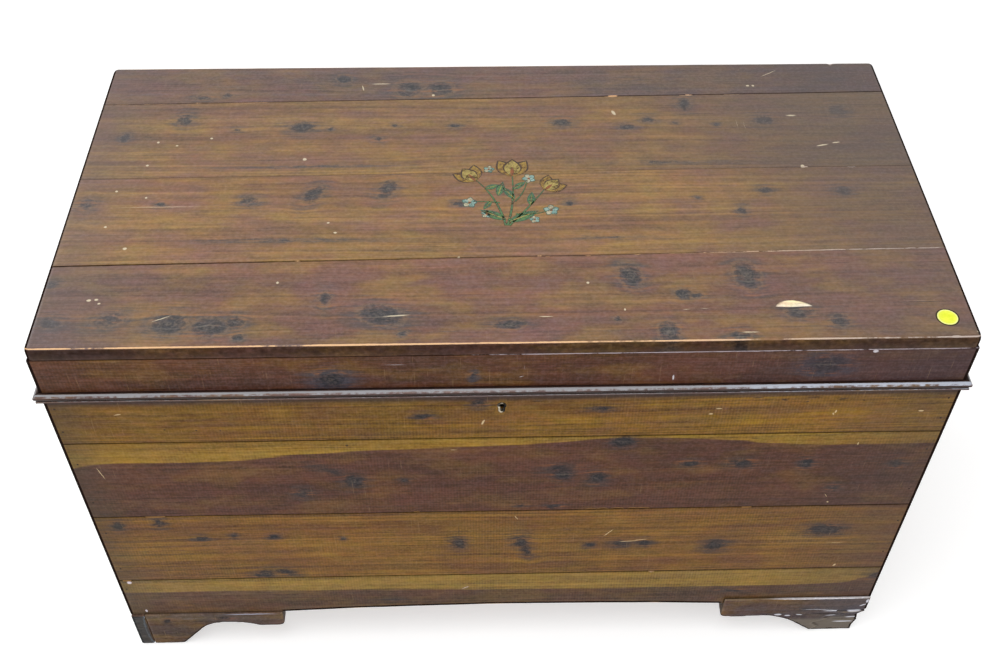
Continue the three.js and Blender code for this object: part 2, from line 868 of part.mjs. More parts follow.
function armGeometry() {
  const radius = stayArmWidth / 2;
  const length = studSpan(openAngle) + staySlotPlay + radius;
  const shape = stadium(THREE.Shape, 0, length, radius);
  shape.holes.push(circle(THREE.Path, 0, 0, stayStudRadius + stayHoleClear));
  shape.holes.push(
    stadium(
      THREE.Path,
      studSpan(0) - staySlotPlay,
      studSpan(openAngle) + staySlotPlay,
      stayStudRadius + stayHoleClear,
    ),
  );
  return endGeometry(shape, stayArm, -fit - stayPlate - stayClear - stayArm);
}

const lidPlate = namedMesh("stay_lid_plate", studGeometry(), steel);
lidPlate.position.copy(lidStud);
const casePlate = namedMesh("stay_case_plate", studGeometry(), steel);
casePlate.position.copy(caseStud);
const arm = namedMesh("stay_arm", armGeometry(), steel);
arm.position.copy(lidStud);
arm.rotation.x = Math.atan2(caseStud.z - lidStud.z, caseStud.y - lidStud.y);
stay.add(lidPlate, casePlate, arm);

export default chest;
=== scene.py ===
# A cedar blanket chest on bracket feet: worn varnish, knotty boards, dark metal inside.
# Lengths are in metres, and the tables of places are in millimetres, as on the bench.
import math
import random
from types import SimpleNamespace

import bmesh
import bpy
import numpy as np
from mathutils import Matrix, Vector, kdtree, noise


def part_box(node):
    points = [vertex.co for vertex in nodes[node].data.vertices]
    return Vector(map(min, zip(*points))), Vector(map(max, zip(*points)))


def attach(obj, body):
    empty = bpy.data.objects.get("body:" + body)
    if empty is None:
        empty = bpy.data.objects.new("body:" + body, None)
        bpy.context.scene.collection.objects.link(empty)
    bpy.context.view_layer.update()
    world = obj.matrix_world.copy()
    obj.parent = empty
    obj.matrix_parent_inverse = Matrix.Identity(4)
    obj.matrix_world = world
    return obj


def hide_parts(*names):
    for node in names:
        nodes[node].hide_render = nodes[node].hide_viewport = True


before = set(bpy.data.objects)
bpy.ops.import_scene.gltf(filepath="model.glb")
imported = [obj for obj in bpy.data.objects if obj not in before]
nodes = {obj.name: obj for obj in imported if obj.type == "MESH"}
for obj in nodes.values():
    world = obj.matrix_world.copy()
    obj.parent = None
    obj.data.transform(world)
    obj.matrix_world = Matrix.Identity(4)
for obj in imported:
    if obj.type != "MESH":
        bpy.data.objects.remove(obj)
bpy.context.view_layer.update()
MM = 0.001
X, Y, Z = 0, 1, 2

# Camera
# It stands at eye height in front of the chest and looks down at the lid, turned a
# little to the right and rolled by less than a degree.
CAMERA_PLACE = (-0.0378, -1.12065, 1.5543)
CAMERA_LENS = 43.761
CAMERA_YAW = 0.0345
CAMERA_DOWN = 0.8199
CAMERA_ROLL = 0.0118


def photo_camera():
    """The camera at its place, turned and rolled as it stood."""
    ahead = Vector((
        math.sin(CAMERA_YAW) * math.cos(CAMERA_DOWN),
        math.cos(CAMERA_YAW) * math.cos(CAMERA_DOWN),
        -math.sin(CAMERA_DOWN),
    ))
    level = Vector((math.cos(CAMERA_YAW), -math.sin(CAMERA_YAW), 0))
    above = level.cross(ahead)
    right = math.cos(CAMERA_ROLL) * level + math.sin(CAMERA_ROLL) * above
    up = math.cos(CAMERA_ROLL) * above - math.sin(CAMERA_ROLL) * level
    camera = bpy.data.objects.new("photo_camera", bpy.data.cameras.new("photo_camera"))
    camera.data.lens = CAMERA_LENS
    turn = Matrix((right, up, -ahead)).transposed().to_4x4()
    camera.matrix_world = Matrix.Translation(CAMERA_PLACE) @ turn
    bpy.context.scene.collection.objects.link(camera)
    bpy.context.scene.camera = camera


photo_camera()

# Floor and light
# A pale studio floor under a white sky, one wide soft light overhead and one in front.
# What the camera and mirror rays see of them is white; the light on the wood stays plain.
FLOOR_SIZE = 14
FLOOR_GREY = 0.84
SKY_LIGHT = 0.5
# How much the floor is lifted to white near the chest and far off, and where that changes
FLOOR_LIFT = 0.36
FAR_LIFT = 0.62
FLOOR_FADE = (1.3, 5)
SOFT_LIGHTS = [
    # place, what it points at, size and watts
    ((-0.5, -0.6, 3.0), (0, 0, 0.5), 2.2, 34),
    ((0.2, -3.2, 1.9), (0, -0.2, 0.3), 1.8, 62),
    ((-2.6, 1.6, 2.2), (0, 0, 0.4), 1.6, 30),
]


def plug(tree, made, inputs):
    """Links or sets the sockets of a shader node, by name or number."""
    for socket, value in inputs.items():
        if isinstance(value, bpy.types.NodeSocket):
            tree.links.new(value, made.inputs[socket])
        else:
            made.inputs[socket].default_value = value


def shader(tree, kind, inputs=None, **settings):
    """One shader node, with its settings by name and its sockets as plug takes them."""
    made = tree.nodes.new("ShaderNode" + kind)
    for name, value in settings.items():
        setattr(made, name, value)
    plug(tree, made, inputs or {})
    return made


def sums(tree, operation, *values, clamp=False):
    """One step of arithmetic on shader values."""
    made = shader(tree, "Math", dict(enumerate(values)), operation=operation, use_clamp=clamp)
    return made.outputs[0]


def times(tree, first, second, clamp=False):
    """One value times another."""
    return sums(tree, "MULTIPLY", first, second, clamp=clamp)


def plus(tree, value, share, more, clamp=False):
    """A value times a share, with more added."""
    return sums(tree, "MULTIPLY_ADD", value, share, more, clamp=clamp)


def ranged(tree, value, low, high, to_low=0, to_high=1, smooth=True):
    """Value, from low..high to to_low..to_high, held at both ends."""
    kind = "SMOOTHSTEP" if smooth else "LINEAR"
    inputs = {0: value, 1: low, 2: high, 3: to_low, 4: to_high}
    return shader(tree, "MapRange", inputs, interpolation_type=kind).outputs[0]


def seen_white(tree):
    """1 for the rays of the camera, of mirrors and of glass, and 0 for light on surfaces."""
    rays = shader(tree, "LightPath").outputs
    mirror = sums(tree, "MAXIMUM", rays["Is Glossy Ray"], rays["Is Transmission Ray"])
    return sums(tree, "MAXIMUM", rays["Is Camera Ray"], mirror)


def new_finish(name):
    """A new material, with its node tree and its surface shader."""
    material = bpy.data.materials.new(name)
    material.use_nodes = True
    return material, material.node_tree, material.node_tree.nodes["Principled BSDF"]


def white_sky():
    """White as the camera and mirrors see it, and plain as it lights the wood."""
    scene = bpy.context.scene
    scene.view_settings.view_transform = "Standard"
    scene.world = bpy.data.worlds.new("white_sky")
    scene.world.use_nodes = True
    tree = scene.world.node_tree
    strength = plus(tree, seen_white(tree), 1 - SKY_LIGHT, SKY_LIGHT)
    plug(tree, tree.nodes["Background"], {"Color": (1, 1, 1, 1), "Strength": strength})


def pale_floor():
    """A flat floor that keeps the chest's shadow and fades to white around it."""
    mesh = bpy.data.meshes.new("studio_floor")
    half = FLOOR_SIZE / 2
    corners = [(-half, -half, 0), (half, -half, 0), (half, half, 0), (-half, half, 0)]
    mesh.from_pydata(corners, [], [(0, 1, 2, 3)])
    floor = bpy.data.objects.new("studio_floor", mesh)
    bpy.context.scene.collection.objects.link(floor)
    material, tree, surface = new_finish("pale_floor")
    place = shader(tree, "TexCoord").outputs["Object"]
    reach = shader(tree, "VectorMath", {0: place}, operation="LENGTH").outputs["Value"]
    fade = ranged(tree, reach, *FLOOR_FADE, FLOOR_LIFT, FAR_LIFT)
    plug(tree, surface, {
        "Base Color": (FLOOR_GREY, FLOOR_GREY, FLOOR_GREY, 1),
        "Roughness": 1,
        "Specular IOR Level": 0,
        "Emission Color": (1, 1, 1, 1),
        "Emission Strength": times(tree, seen_white(tree), fade),
    })
    mesh.materials.append(material)


def soft_lights():
    """Round lamps, each turned to its place on the chest."""
    for index, (place, target, size, watts) in enumerate(SOFT_LIGHTS):
        light = bpy.data.lights.new(f"soft_light_{index + 1}", "AREA")
        light.shape = "DISK"
        light.size = size
        light.energy = watts
        lamp = bpy.data.objects.new(light.name, light)
        lamp.location = place
        lamp.rotation_euler = (Vector(target) - Vector(place)).to_track_quat("-Z", "Y").to_euler()
        bpy.context.scene.collection.objects.link(lamp)


white_sky()
pale_floor()
soft_lights()

# Front wall
# Four flat-sawn cedar boards, planed, nailed over the ends of the end walls and varnished.
# Their edges are worn round, the seams have opened, and the lowest board has the apron arch.


def paint(code):
    """A linear colour from its usual six-figure name."""
    parts = [int(code[place:place + 2], 16) / 255 for place in (0, 2, 4)]
    return tuple(p / 12.92 if p <= 0.04045 else ((p + 0.055) / 1.055) ** 2.4 for p in parts) + (1,)


def mixed(tree, share, *colors):
    """The first colour, gone over to the second by a share. Colours are values or codes."""
    first, second = (paint(color) if isinstance(color, str) else color for color in colors)
    return shader(tree, "Mix", {0: share, 6: first, 7: second}, data_type="RGBA").outputs[2]


def moved(tree, place, scale, shift=(0, 0, 0)):
    """A place times a scale, with a shift added."""
    inputs = {0: place, 1: scale, 2: shift}
    return shader(tree, "VectorMath", inputs, operation="MULTIPLY_ADD").outputs[0]


def dimmed(tree, color, share):
    """A colour or place times one number."""
    return shader(tree, "VectorMath", {0: color, "Scale": share}, operation="SCALE").outputs[0]


def clouds(tree, place, scale, detail=2, roughness=0.5, shift=(0, 0, 0), color=False):
    """Noise with as many marks to the metre as the scale says, from 0 to 1."""
    place = moved(tree, place, scale, shift)
    inputs = {"Vector": place, "Scale": 1, "Detail": detail, "Roughness": roughness}
    return shader(tree, "TexNoise", inputs).outputs["Color" if color else "Fac"]


def marked(tree, name):
    """What a piece's points are marked with under a name."""
    return shader(tree, "Attribute", attribute_name=name).outputs["Fac"]


def raised(tree, strength, distance, height):
    """A surface that stands up by a height, as the surface shader's normal."""
    return shader(tree, "Bump", {"Strength": strength, "Distance": distance, "Height": height}).outputs[0]


# How much of a knot's half height the grain beside it steps aside, and how fast that fades
# over each of its own sizes away from it
BEND_SHARE = 0.5
BEND_FALL = 0.3


def nearest(tree, place, rows, bend=None):
    """How near a place lies to a row of oval marks, in units of their own size.

    Each row is its middle, its half width and half height in mm and, where they aren't 0,
    its tilt in degrees and how faint it is. With bend, also how far the grain steps aside
    to flow round them."""
    near = None
    for x, y, wide, high, *rest in rows:
        tilt, faint = (*rest, 0, 0)[:2]
        oval = {
            "Vector": place,
            "Location": (x * MM, y * MM, 0),
            "Rotation": (0, 0, math.radians(tilt)),
            "Scale": (wide * MM, high * MM, 1),
        }
        local = shader(tree, "Mapping", oval, vector_type="TEXTURE").outputs[0]
        reach = shader(tree, "VectorMath", {0: local}, operation="LENGTH").outputs["Value"]
        here = sums(tree, "ADD", reach, faint)
        near = here if near is None else sums(tree, "MINIMUM", near, here)
        if bend is not None:
            push = sums(tree, "MAXIMUM", plus(tree, reach, -BEND_FALL, 1), 0)
            push = times(tree, push, push)
            push = times(tree, push, high * MM * BEND_SHARE)
            rise = shader(tree, "SeparateXYZ", {0: local}).outputs[1]
            bend = plus(tree, rise, push, bend)
    return near, bend


# How many marks each part of the figure has to the metre: along the grain, across, through
WANDER = (1.6, 7, 7)
CRUMBS = (95, 150, 1)
STREAK = (2.2, 150, 60)
LINE = (0.6, 330, 90)
BAND = (0.9, 22, 22)
FIBRE = (12, 1000, 1000)
PATCH = (7, 15, 15)
MOTTLE = (38, 115, 80)
SPECKLE = (220, 260, 260)
HUE = (12, 30, 28)
DRIFT = (50, 70, 70)
PLANER_SWAY = (16, 4, 1)
PLANER_FADE = (6, 11, 1)
JAGS = (300, 500, 1)
HAIRS = (700, 22, 1)
FRAY = (150, 150, 150)
# How far the grain wanders, and how ragged the knots, the other marks and the sapwood are
WANDER_REACH = 26 * MM
KNOT_RAG = (14 * MM, 9 * MM, 0)
MARK_RAG = (1.6 * MM, 1.1 * MM, 0)
SAP_RAG = 4 * MM
SAP_EDGE = (0.5 * MM, 3.5 * MM)
# How much red, green and blue drift apart from place to place
DRIFT_SHARES = (0.32, 0.24, 0.8)
# How each board's seed moves it about in the same wood
BOARD_STEP = (3.7, 5.1, 7.3)
PLANER_PITCH = 3.7 * MM
KNOT_HEART = "17171b"
RAW_LIGHT = "a98465"
RAW_RED = "916350"
RAW_KNOT = "55362a"
# What a finish is unless its board says otherwise. Knots, pale and dark marks are rows as
# nearest takes them, veils darken or recolour a board from one place to another along an axis
# (axis, start, stop, share and colour), ends are the two tones of the end grain, and the
# single numbers are strengths.
PLAIN_CEDAR = dict(
    knots=(), pale=(), dark=(), veils=(), planer=0, figure=1, ruddy=0.35, tint=0.45, glow=0.4, split=0.2,
    haze=0.16, hair=0.22, grime_and_shade=0.1, worn=0.9, rough=0.36, relief=0.7, gloss=0.08,
    blush="573321", violet="51342c", gold="765925", halo="372f2d", ember="8a5226", knot="3c3531",
    speck="c2ab84", rubbed="8d6a42", ends=("3f2d20", "5e4430"),
)


def ragged(tree, wood, scale, detail, roughness, reach):
    """Places in the plane of a board, moved about a little, so that what they mark is ragged."""
    crumbs = clouds(tree, wood.flat, scale, detail, roughness, wood.shift, True)
    inputs = {0: crumbs, 1: reach, 2: wood.flat}
    place = shader(tree, "VectorMath", inputs, operation="MULTIPLY_ADD").outputs[0]
    return moved(tree, place, (1, 1, 0), [-size / 2 for size in reach])


def grown(tree, along, across, knot_rows):
    """One board's wood: its places, and its grain, which wanders and flows round its knots."""
    corner = shader(tree, "TexCoord").outputs
    parts = shader(tree, "SeparateXYZ", {0: corner["Object"]}).outputs
    facing = shader(tree, "SeparateXYZ", {0: corner["Normal"]}).outputs
    through = parts[3 - along - across]
    wood = SimpleNamespace(parts=parts, facing=facing)
    wood.flat = shader(tree, "CombineXYZ", {0: parts[along], 1: parts[across]}).outputs[0]
    wood.solid = shader(tree, "CombineXYZ", {0: parts[along], 1: parts[across], 2: through}).outputs[0]
    wood.shift = dimmed(tree, BOARD_STEP, marked(tree, "board"))
    wander = clouds(tree, wood.solid, WANDER, shift=wood.shift)
    slope = plus(tree, wander, WANDER_REACH, -WANDER_REACH / 2)
    place = ragged(tree, wood, CRUMBS, 4, 0.65, KNOT_RAG)
    wood.knots, bend = nearest(tree, place, knot_rows, 0)
    height = sums(tree, "ADD", parts[across], slope)
    if wood.knots is not None:
        height = sums(tree, "SUBTRACT", height, bend)
    wood.grain = shader(tree, "CombineXYZ", {0: parts[along], 1: height, 2: through}).outputs[0]
    wood.streak = ranged(tree, clouds(tree, wood.grain, STREAK, 6, 0.66, wood.shift), 0.32, 0.68)
    wood.line = ranged(tree, clouds(tree, wood.grain, LINE, 4, 0.62, wood.shift), 0.33, 0.67)
    wood.band = ranged(tree, clouds(tree, wood.grain, BAND, 4, 0.6, wood.shift), 0.36, 0.64)
    wood.fibre = clouds(tree, wood.solid, FIBRE, 3, 0.6, wood.shift)
    wood.patch = clouds(tree, wood.solid, PATCH, 4, 0.6, wood.shift)
    wood.mottle = clouds(tree, wood.grain, MOTTLE, 4, 0.7, wood.shift)
    wood.speckle = clouds(tree, wood.solid, SPECKLE, 3, 0.7, wood.shift)
    return wood


def sapwood_over(tree, wood, tone, tint, low, high, rows, light, dark):
    """Pale sapwood above a line along a front board, whose places in mm the rows give."""
    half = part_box("front_board_1")[1][X]
    curve = shader(tree, "FloatCurve", {"Value": ranged(tree, wood.parts[X], -half, half, smooth=False)})
    points = curve.mapping.curves[0].points
    while len(points) < len(rows):
        points.new(0.5, 0.5)
    for point, (x, z) in zip(points, rows):
        point.location = ((x * MM + half) / (2 * half), (z - low) / (high - low))
    curve.mapping.update()
    edge = plus(tree, curve.outputs[0], (high - low) * MM, low * MM)
    over = sums(tree, "SUBTRACT", wood.parts[Z], edge)
    over = plus(tree, wood.streak, SAP_RAG, over)
    sap = mixed(tree, wood.band, light, dark)
    sap = mixed(tree, times(tree, tint, 0.5), sap, "6a5648")
    return mixed(tree, ranged(tree, over, *SAP_EDGE), tone, sap)


def toned(tree, wood, light, red, look):
    """The tones of the wood: light and red bands, ruddy patches, violet, gold and sapwood."""
    tone = mixed(tree, wood.band, light, red)
    ruddy = ranged(tree, plus(tree, wood.streak, -0.35, wood.patch), 0.2, 0.46)
    tone = mixed(tree, times(tree, ruddy, look["ruddy"]), tone, look["blush"])
    hue = clouds(tree, wood.grain, HUE, 4, 0.55, wood.shift)
    tint = ranged(tree, hue, 0.44, 0.68, 0, look["tint"])
    tone = mixed(tree, tint, tone, look["violet"])
    gilt = ranged(tree, hue, 0.54, 0.34, 0, look["tint"])
    tone = mixed(tree, gilt, tone, look["gold"])
    if "sapwood" in look:
        tone = sapwood_over(tree, wood, tone, tint, *look["sapwood"])
    return tone


def figured(tree, wood, strength):
    """How light or dark the figure makes the wood."""
    value = plus(tree, wood.streak, 0.34 * strength, -0.78 - 0.36 * strength)
    parts = (wood.line, wood.patch, wood.fibre, wood.speckle, wood.mottle)
    for part, share in zip(parts, (0.38 * strength, 0.8, 0.7, 1, 1.06)):
        value = plus(tree, part, share, value)
    return sums(tree, "MAXIMUM", value, 0.2)


def planed(tree, wood, along, strength):
    """The ripple that the planer's knives left across the grain, from -1 to 1."""
    sweep = times(tree, wood.parts[along], math.tau / PLANER_PITCH)
    sway = clouds(tree, wood.solid, PLANER_SWAY, shift=wood.shift)
    wave = sums(tree, "SINE", plus(tree, sway, 3, sweep))
    fade = ranged(tree, clouds(tree, wood.flat, PLANER_FADE, 3, shift=wood.shift), 0.36, 0.66, 0.3, 1)
    return times(tree, wave, times(tree, fade, strength))


def knotted(tree, wood, color, look):
    """Knots: a fuzzy blue-grey cloud drawn out along the grain, orange streaks, a dark heart."""
    knots = wood.knots
    drawn = plus(tree, wood.streak, 1.5, knots)
    cloud = ranged(tree, drawn, 3.6, 1.4)
    thin = plus(tree, wood.mottle, -1.8, 1.75)
    cloud = times(tree, cloud, thin, clamp=True)
    color = mixed(tree, times(tree, cloud, 0.85), color, look["halo"])
    flame = times(tree, ranged(tree, wood.line, 0.5, 0.9), ranged(tree, knots, 2.6, 1.4))
    flame = times(tree, flame, ranged(tree, wood.mottle, 0.44, 0.6, 0, look["glow"]))
    color = mixed(tree, flame, color, look["ember"])
    turn = plus(tree, knots, 17, times(tree, wood.streak, 7))
    rings = sums(tree, "SINE", turn)
    body = plus(tree, rings, 0.16, plus(tree, knots, -0.42, wood.speckle))
    body = ranged(tree, plus(tree, wood.mottle, 0.7, body), 0.44, 1.0)
    inner = mixed(tree, body, KNOT_HEART, look["knot"])
    split = ranged(tree, wood.line, 0.8, 1.0, 0, look["split"])
    inner = mixed(tree, split, inner, "8d8478")
    if "ring" in look:
        bark = sums(tree, "ABSOLUTE", sums(tree, "ADD", knots, -1.42))
        bark = times(tree, ranged(tree, bark, 0.3, 0.05, 0, look["ring"]), wood.speckle)
        color = mixed(tree, bark, color, "8a6a45")
    heart = plus(tree, wood.speckle, 1.4, knots)
    heart = ranged(tree, plus(tree, wood.mottle, 1.3, heart), 2.9, 1.8)
    return mixed(tree, times(tree, heart, 0.92), color, inner)


def veiled_and_marked(tree, wood, color, look):
    """Veils that darken or recolour bands and ends, a painted shadow under the bead among them, then
    dents, cracks, scratches and specks. Also their bumps.
    """
    for axis, start, stop, share, code in look["veils"]:
        color = mixed(tree, ranged(tree, wood.parts[axis], start, stop, 0, share), color, code)
    place = ragged(tree, wood, JAGS, 2, 0.5, MARK_RAG)
    bumps = times(tree, wood.fibre, 0.12)
    if look["dark"]:
        dark = nearest(tree, place, look["dark"])[0]
        color = mixed(tree, ranged(tree, dark, 1.3, 0.5, 0, 0.8), color, "201815")
        bumps = plus(tree, ranged(tree, dark, 1.2, 0.6), -0.15, bumps)
    if look["pale"]:
        pale = nearest(tree, place, look["pale"])[0]
        color = mixed(tree, ranged(tree, pale, 1.25, 0.7, 0, 0.8), color, look["speck"])
    return color, bumps


def aged(tree, wood, color, look):
    """Hazy varnish, fine scratches, dirt along the edges, and wear on the arrises. Where a piece marks it
    so, the edge darkening is painted shade and the rubbed colour a painted highlight.

    The wood keeps its scratches, its darkened edges and its wear for the rest of the finish."""
    haze = plus(tree, wood.fibre, 0.7, wood.speckle)
    haze = ranged(tree, haze, 0.74, 1.12, 0, look["haze"])
    color = mixed(tree, haze, color, "75727c")
    hairs = clouds(tree, wood.flat, HAIRS, shift=wood.shift)
    wood.hair = ranged(tree, hairs, 0.68, 0.76, 0, look["hair"])
    color = mixed(tree, wood.hair, color, "9a805e")
    fray = clouds(tree, wood.solid, FRAY, 4, 0.6, wood.shift)
    wood.edge = marked(tree, "edge")
    grime_and_shade = plus(tree, fray, 0.7, 0.2 + look["grime_and_shade"])
    dirt = times(tree, wood.edge, grime_and_shade, clamp=True)
    color = mixed(tree, dirt, color, "1c1310")
    wear = plus(tree, fray, 0.7, marked(tree, "wear"))
    wood.worn = ranged(tree, wear, 0.88, 1.08, 0, look["worn"])
    rubbed = look["rubbed"]
    # Toward one end the rubbed colour may go to another, paler colour: a painted reflection.
    if "bleached" in look:
        axis, start, stop, code = look["bleached"]
        rubbed = mixed(tree, ranged(tree, wood.parts[axis], start, stop), rubbed, code)
    return mixed(tree, wood.worn, color, rubbed)


def unvarnished(tree, wood, color, value, raw):
    """Bare wood on the faces that look inward along the raw axis, or on all if it is None.

    Also how bare each place is."""
    inward = 1
    if raw is not None:
        toward = times(tree, wood.facing[raw], sums(tree, "SIGN", wood.parts[raw]))
        inward = ranged(tree, toward, -0.55, -0.8)
    shadow = plus(tree, value, 0.55, 0.42)
    bare = mixed(tree, wood.band, RAW_LIGHT, RAW_RED)
    if wood.knots is not None:
        bare = mixed(tree, ranged(tree, wood.knots, 1.5, 0.8, 0, 0.6), bare, RAW_KNOT)
    return mixed(tree, inward, color, dimmed(tree, bare, shadow)), inward


def cedar(name, along, across, light, red, **look):
    """The finish of a cedar board. Along and across are its grain and width axes.

    Light and red are its two tones, and look holds what differs from plain cedar. It may
    also have sapwood, a painted reflection toward one end (where the rubbed edges go to
    another, paler colour), raw (the axis whose inward faces were never varnished) and ring
    (the bark round its knots)."""
    look = {**PLAIN_CEDAR, **look}
    material, tree, surface = new_finish(name)
    wood = grown(tree, along, across, look["knots"])
    tone = toned(tree, wood, light, red, look)
    value = figured(tree, wood, look["figure"])
    if look["planer"]:
        ripple = planed(tree, wood, along, look["planer"])
        depth = plus(tree, wood.speckle, 0.1, 0.06)
        value = plus(tree, ripple, depth, value)
    color = dimmed(tree, tone, value)
    drift = clouds(tree, wood.solid, DRIFT, 3, 0.6, wood.shift, True)
    drift = moved(tree, drift, DRIFT_SHARES, [1 - share / 2 for share in DRIFT_SHARES])
    color = shader(tree, "VectorMath", {0: color, 1: drift}, operation="MULTIPLY").outputs[0]
    if wood.knots is not None:
        color = knotted(tree, wood, color, look)
    color, bumps = veiled_and_marked(tree, wood, color, look)
    color = aged(tree, wood, color, look)

    # End grain, and the faces that were never varnished
    end = ranged(tree, sums(tree, "ABSOLUTE", wood.facing[along]), 0.75, 0.9)
    ends = mixed(tree, wood.line, *look["ends"])
    color = mixed(tree, times(tree, end, 0.8), color, ends)
    rough = plus(tree, wood.patch, 0.3, look["rough"] - 0.15)
    rough = plus(tree, wood.streak, 0.08, rough)
    rough = plus(tree, wood.worn, 0.25, rough)
    if "raw" in look:
        color, inward = unvarnished(tree, wood, color, value, look["raw"])
        rough = plus(tree, inward, 0.4, rough)
    bumps = plus(tree, wood.hair, -0.05, bumps)
    if look["planer"]:
        bumps = plus(tree, ripple, 0.02, bumps)
    gloss = look["gloss"]
    # The plain value as well, for a viewer that can't follow what is linked below
    surface.inputs["Specular IOR Level"].default_value = gloss
    plug(tree, surface, {
        "Base Color": color,
        "Roughness": rough,
        "Normal": raised(tree, look["relief"], MM, bumps),
        "Specular IOR Level": plus(tree, wood.edge, -0.9 * gloss, gloss, clamp=True),
    })
    return material


def wobble(places, pitch, seed):
    """Smooth noise from -1 to 1 along a row of places, one swing in about pitch metres."""
    return np.array([noise.noise(Vector((place / pitch, seed * 7.13, seed * 1.7))) for place in places])


def set_back(distance, radius):
    """How far a rounded edge stands back from its corner, at a distance from its end."""
    short = np.clip(radius - distance, 0, radius)
    return radius - np.sqrt(np.maximum(radius ** 2 - short ** 2, 0))


# Corners sharper than this stay crisp
SHARP = math.radians(38)


def mark_points(mesh, marks):
    """Gives the points of a mesh their values under each name."""
    for name, values in marks.items():
        mesh.attributes.new(name, "FLOAT", "POINT").data.foreach_set("value", np.ravel(values))


def new_piece(name, points, faces, material=None, marks=None):
    """A mesh piece with smooth faces and sharp corners; marks are values for its points."""
    mesh = bpy.data.meshes.new(name)
    mesh.from_pydata([tuple(p) for p in points], [], faces)
    mark_points(mesh, marks or {})
    shape = bmesh.new()
    shape.from_mesh(mesh)
    bmesh.ops.recalc_face_normals(shape, faces=shape.faces)
    shape.to_mesh(mesh)
    shape.free()
    mesh.shade_smooth()
    mesh.set_sharp_from_angle(angle=SHARP)
    if material:
        mesh.materials.append(material)
    piece = bpy.data.objects.new(name, mesh)
    bpy.context.scene.collection.objects.link(piece)
    return piece


def tube_faces(rings, points):
    """Faces of a closed skin over rings of points, with both ends capped."""
    faces = []
    for ring in range(rings - 1):
        for point in range(points):
            after = (point + 1) % points
            first, second = ring * points, (ring + 1) * points
            faces.append((first + point, first + after, second + after, second + point))
    faces.append(tuple(range(points)))
    faces.append(tuple(range((rings - 1) * points, rings * points)))
    return faces


# How finely a plank is drawn: along it, round its corners and across its faces
STATION = 4 * MM
CORNER_STEPS = 4
ROUND_STEPS = 9
FACE_STEPS = 4
EDGE_MARGIN = 1.1 * MM
# The dark line across a board's ends: how wide it is, over what it fades, how dark it is
END_LINE = 3.2 * MM
END_FADE = 0.6 * MM
END_DARK = 2.2
# Above the wide round an arris is a whole rounded edge, worn pale along its crest with a
# painted highlight there, and painted shade on its steeper part below the crest
WIDE_ROUND = 3 * MM
LEAST_ROUND = 0.25 * MM
# The roundest an arris can be, as a share of the plank's thickness
MOST_ROUND = 0.45
# How far a board's edges wander, and how long the swings of its wear are
EDGE_SWAY = 0.2 * MM
SWAY_PITCH = 30 * MM
ARRIS_PITCHES = (22 * MM, 6 * MM)
ROUND_PITCH = 50 * MM
BARE_PITCH = 15 * MM
# The four arrises of a plank in order round its section, as signs across and through it
ARRISES = [(-1, 1), (1, 1), (1, -1), (-1, -1)]
# What a plank's wear is unless its piece says otherwise
PLAIN_WEAR = {
    "radii": (0.5 * MM,) * 4,
    "ends": (0.8 * MM,) * 4,
    "dirty": (1, 1, 1, 1),
    "polished": (),
    "underline": (0, 0, 0),
    "chips": (),
}


def stations(start, stop, reach):
    """Places along a plank: even, but close together where its ends are rounded or darkened."""
    near_end = reach * (1 - np.cos(np.linspace(0, math.pi / 2, 6)))
    count = max(3, round((stop - start - 2 * reach) / STATION))
    inside = np.linspace(start + reach, stop - reach, count)
    places = np.concatenate([start + near_end[:-1], inside, (stop - near_end[:-1])[::-1]])
    if reach < END_LINE:
        lines = np.array([END_LINE, END_LINE + END_FADE])
        places = np.sort(np.concatenate([places, start + lines, stop - lines]))
    return places


def arris_wear(places, seed, radii, chips):
    """How round each arris of a plank is at its places, and how deep it is chipped."""
    for index, size in enumerate(radii):
        uneven = 0.5 * wobble(places, ARRIS_PITCHES[0], seed + index * 1.9)
        uneven = uneven + 0.35 * wobble(places, ARRIS_PITCHES[1], seed + index)
        if size > WIDE_ROUND:
            uneven = 0.06 * wobble(places, ROUND_PITCH, seed + index)
        bitten = np.zeros_like(places)
        for edge, place, half, depth in chips:
            if edge == index:
                reach = np.clip(1 - np.abs(places - place * MM) / (half * MM), 0, 1)
                bitten = np.maximum(bitten, depth * MM * np.sqrt(reach))
        yield np.maximum(size * (1 + uneven), LEAST_ROUND) + bitten, bitten


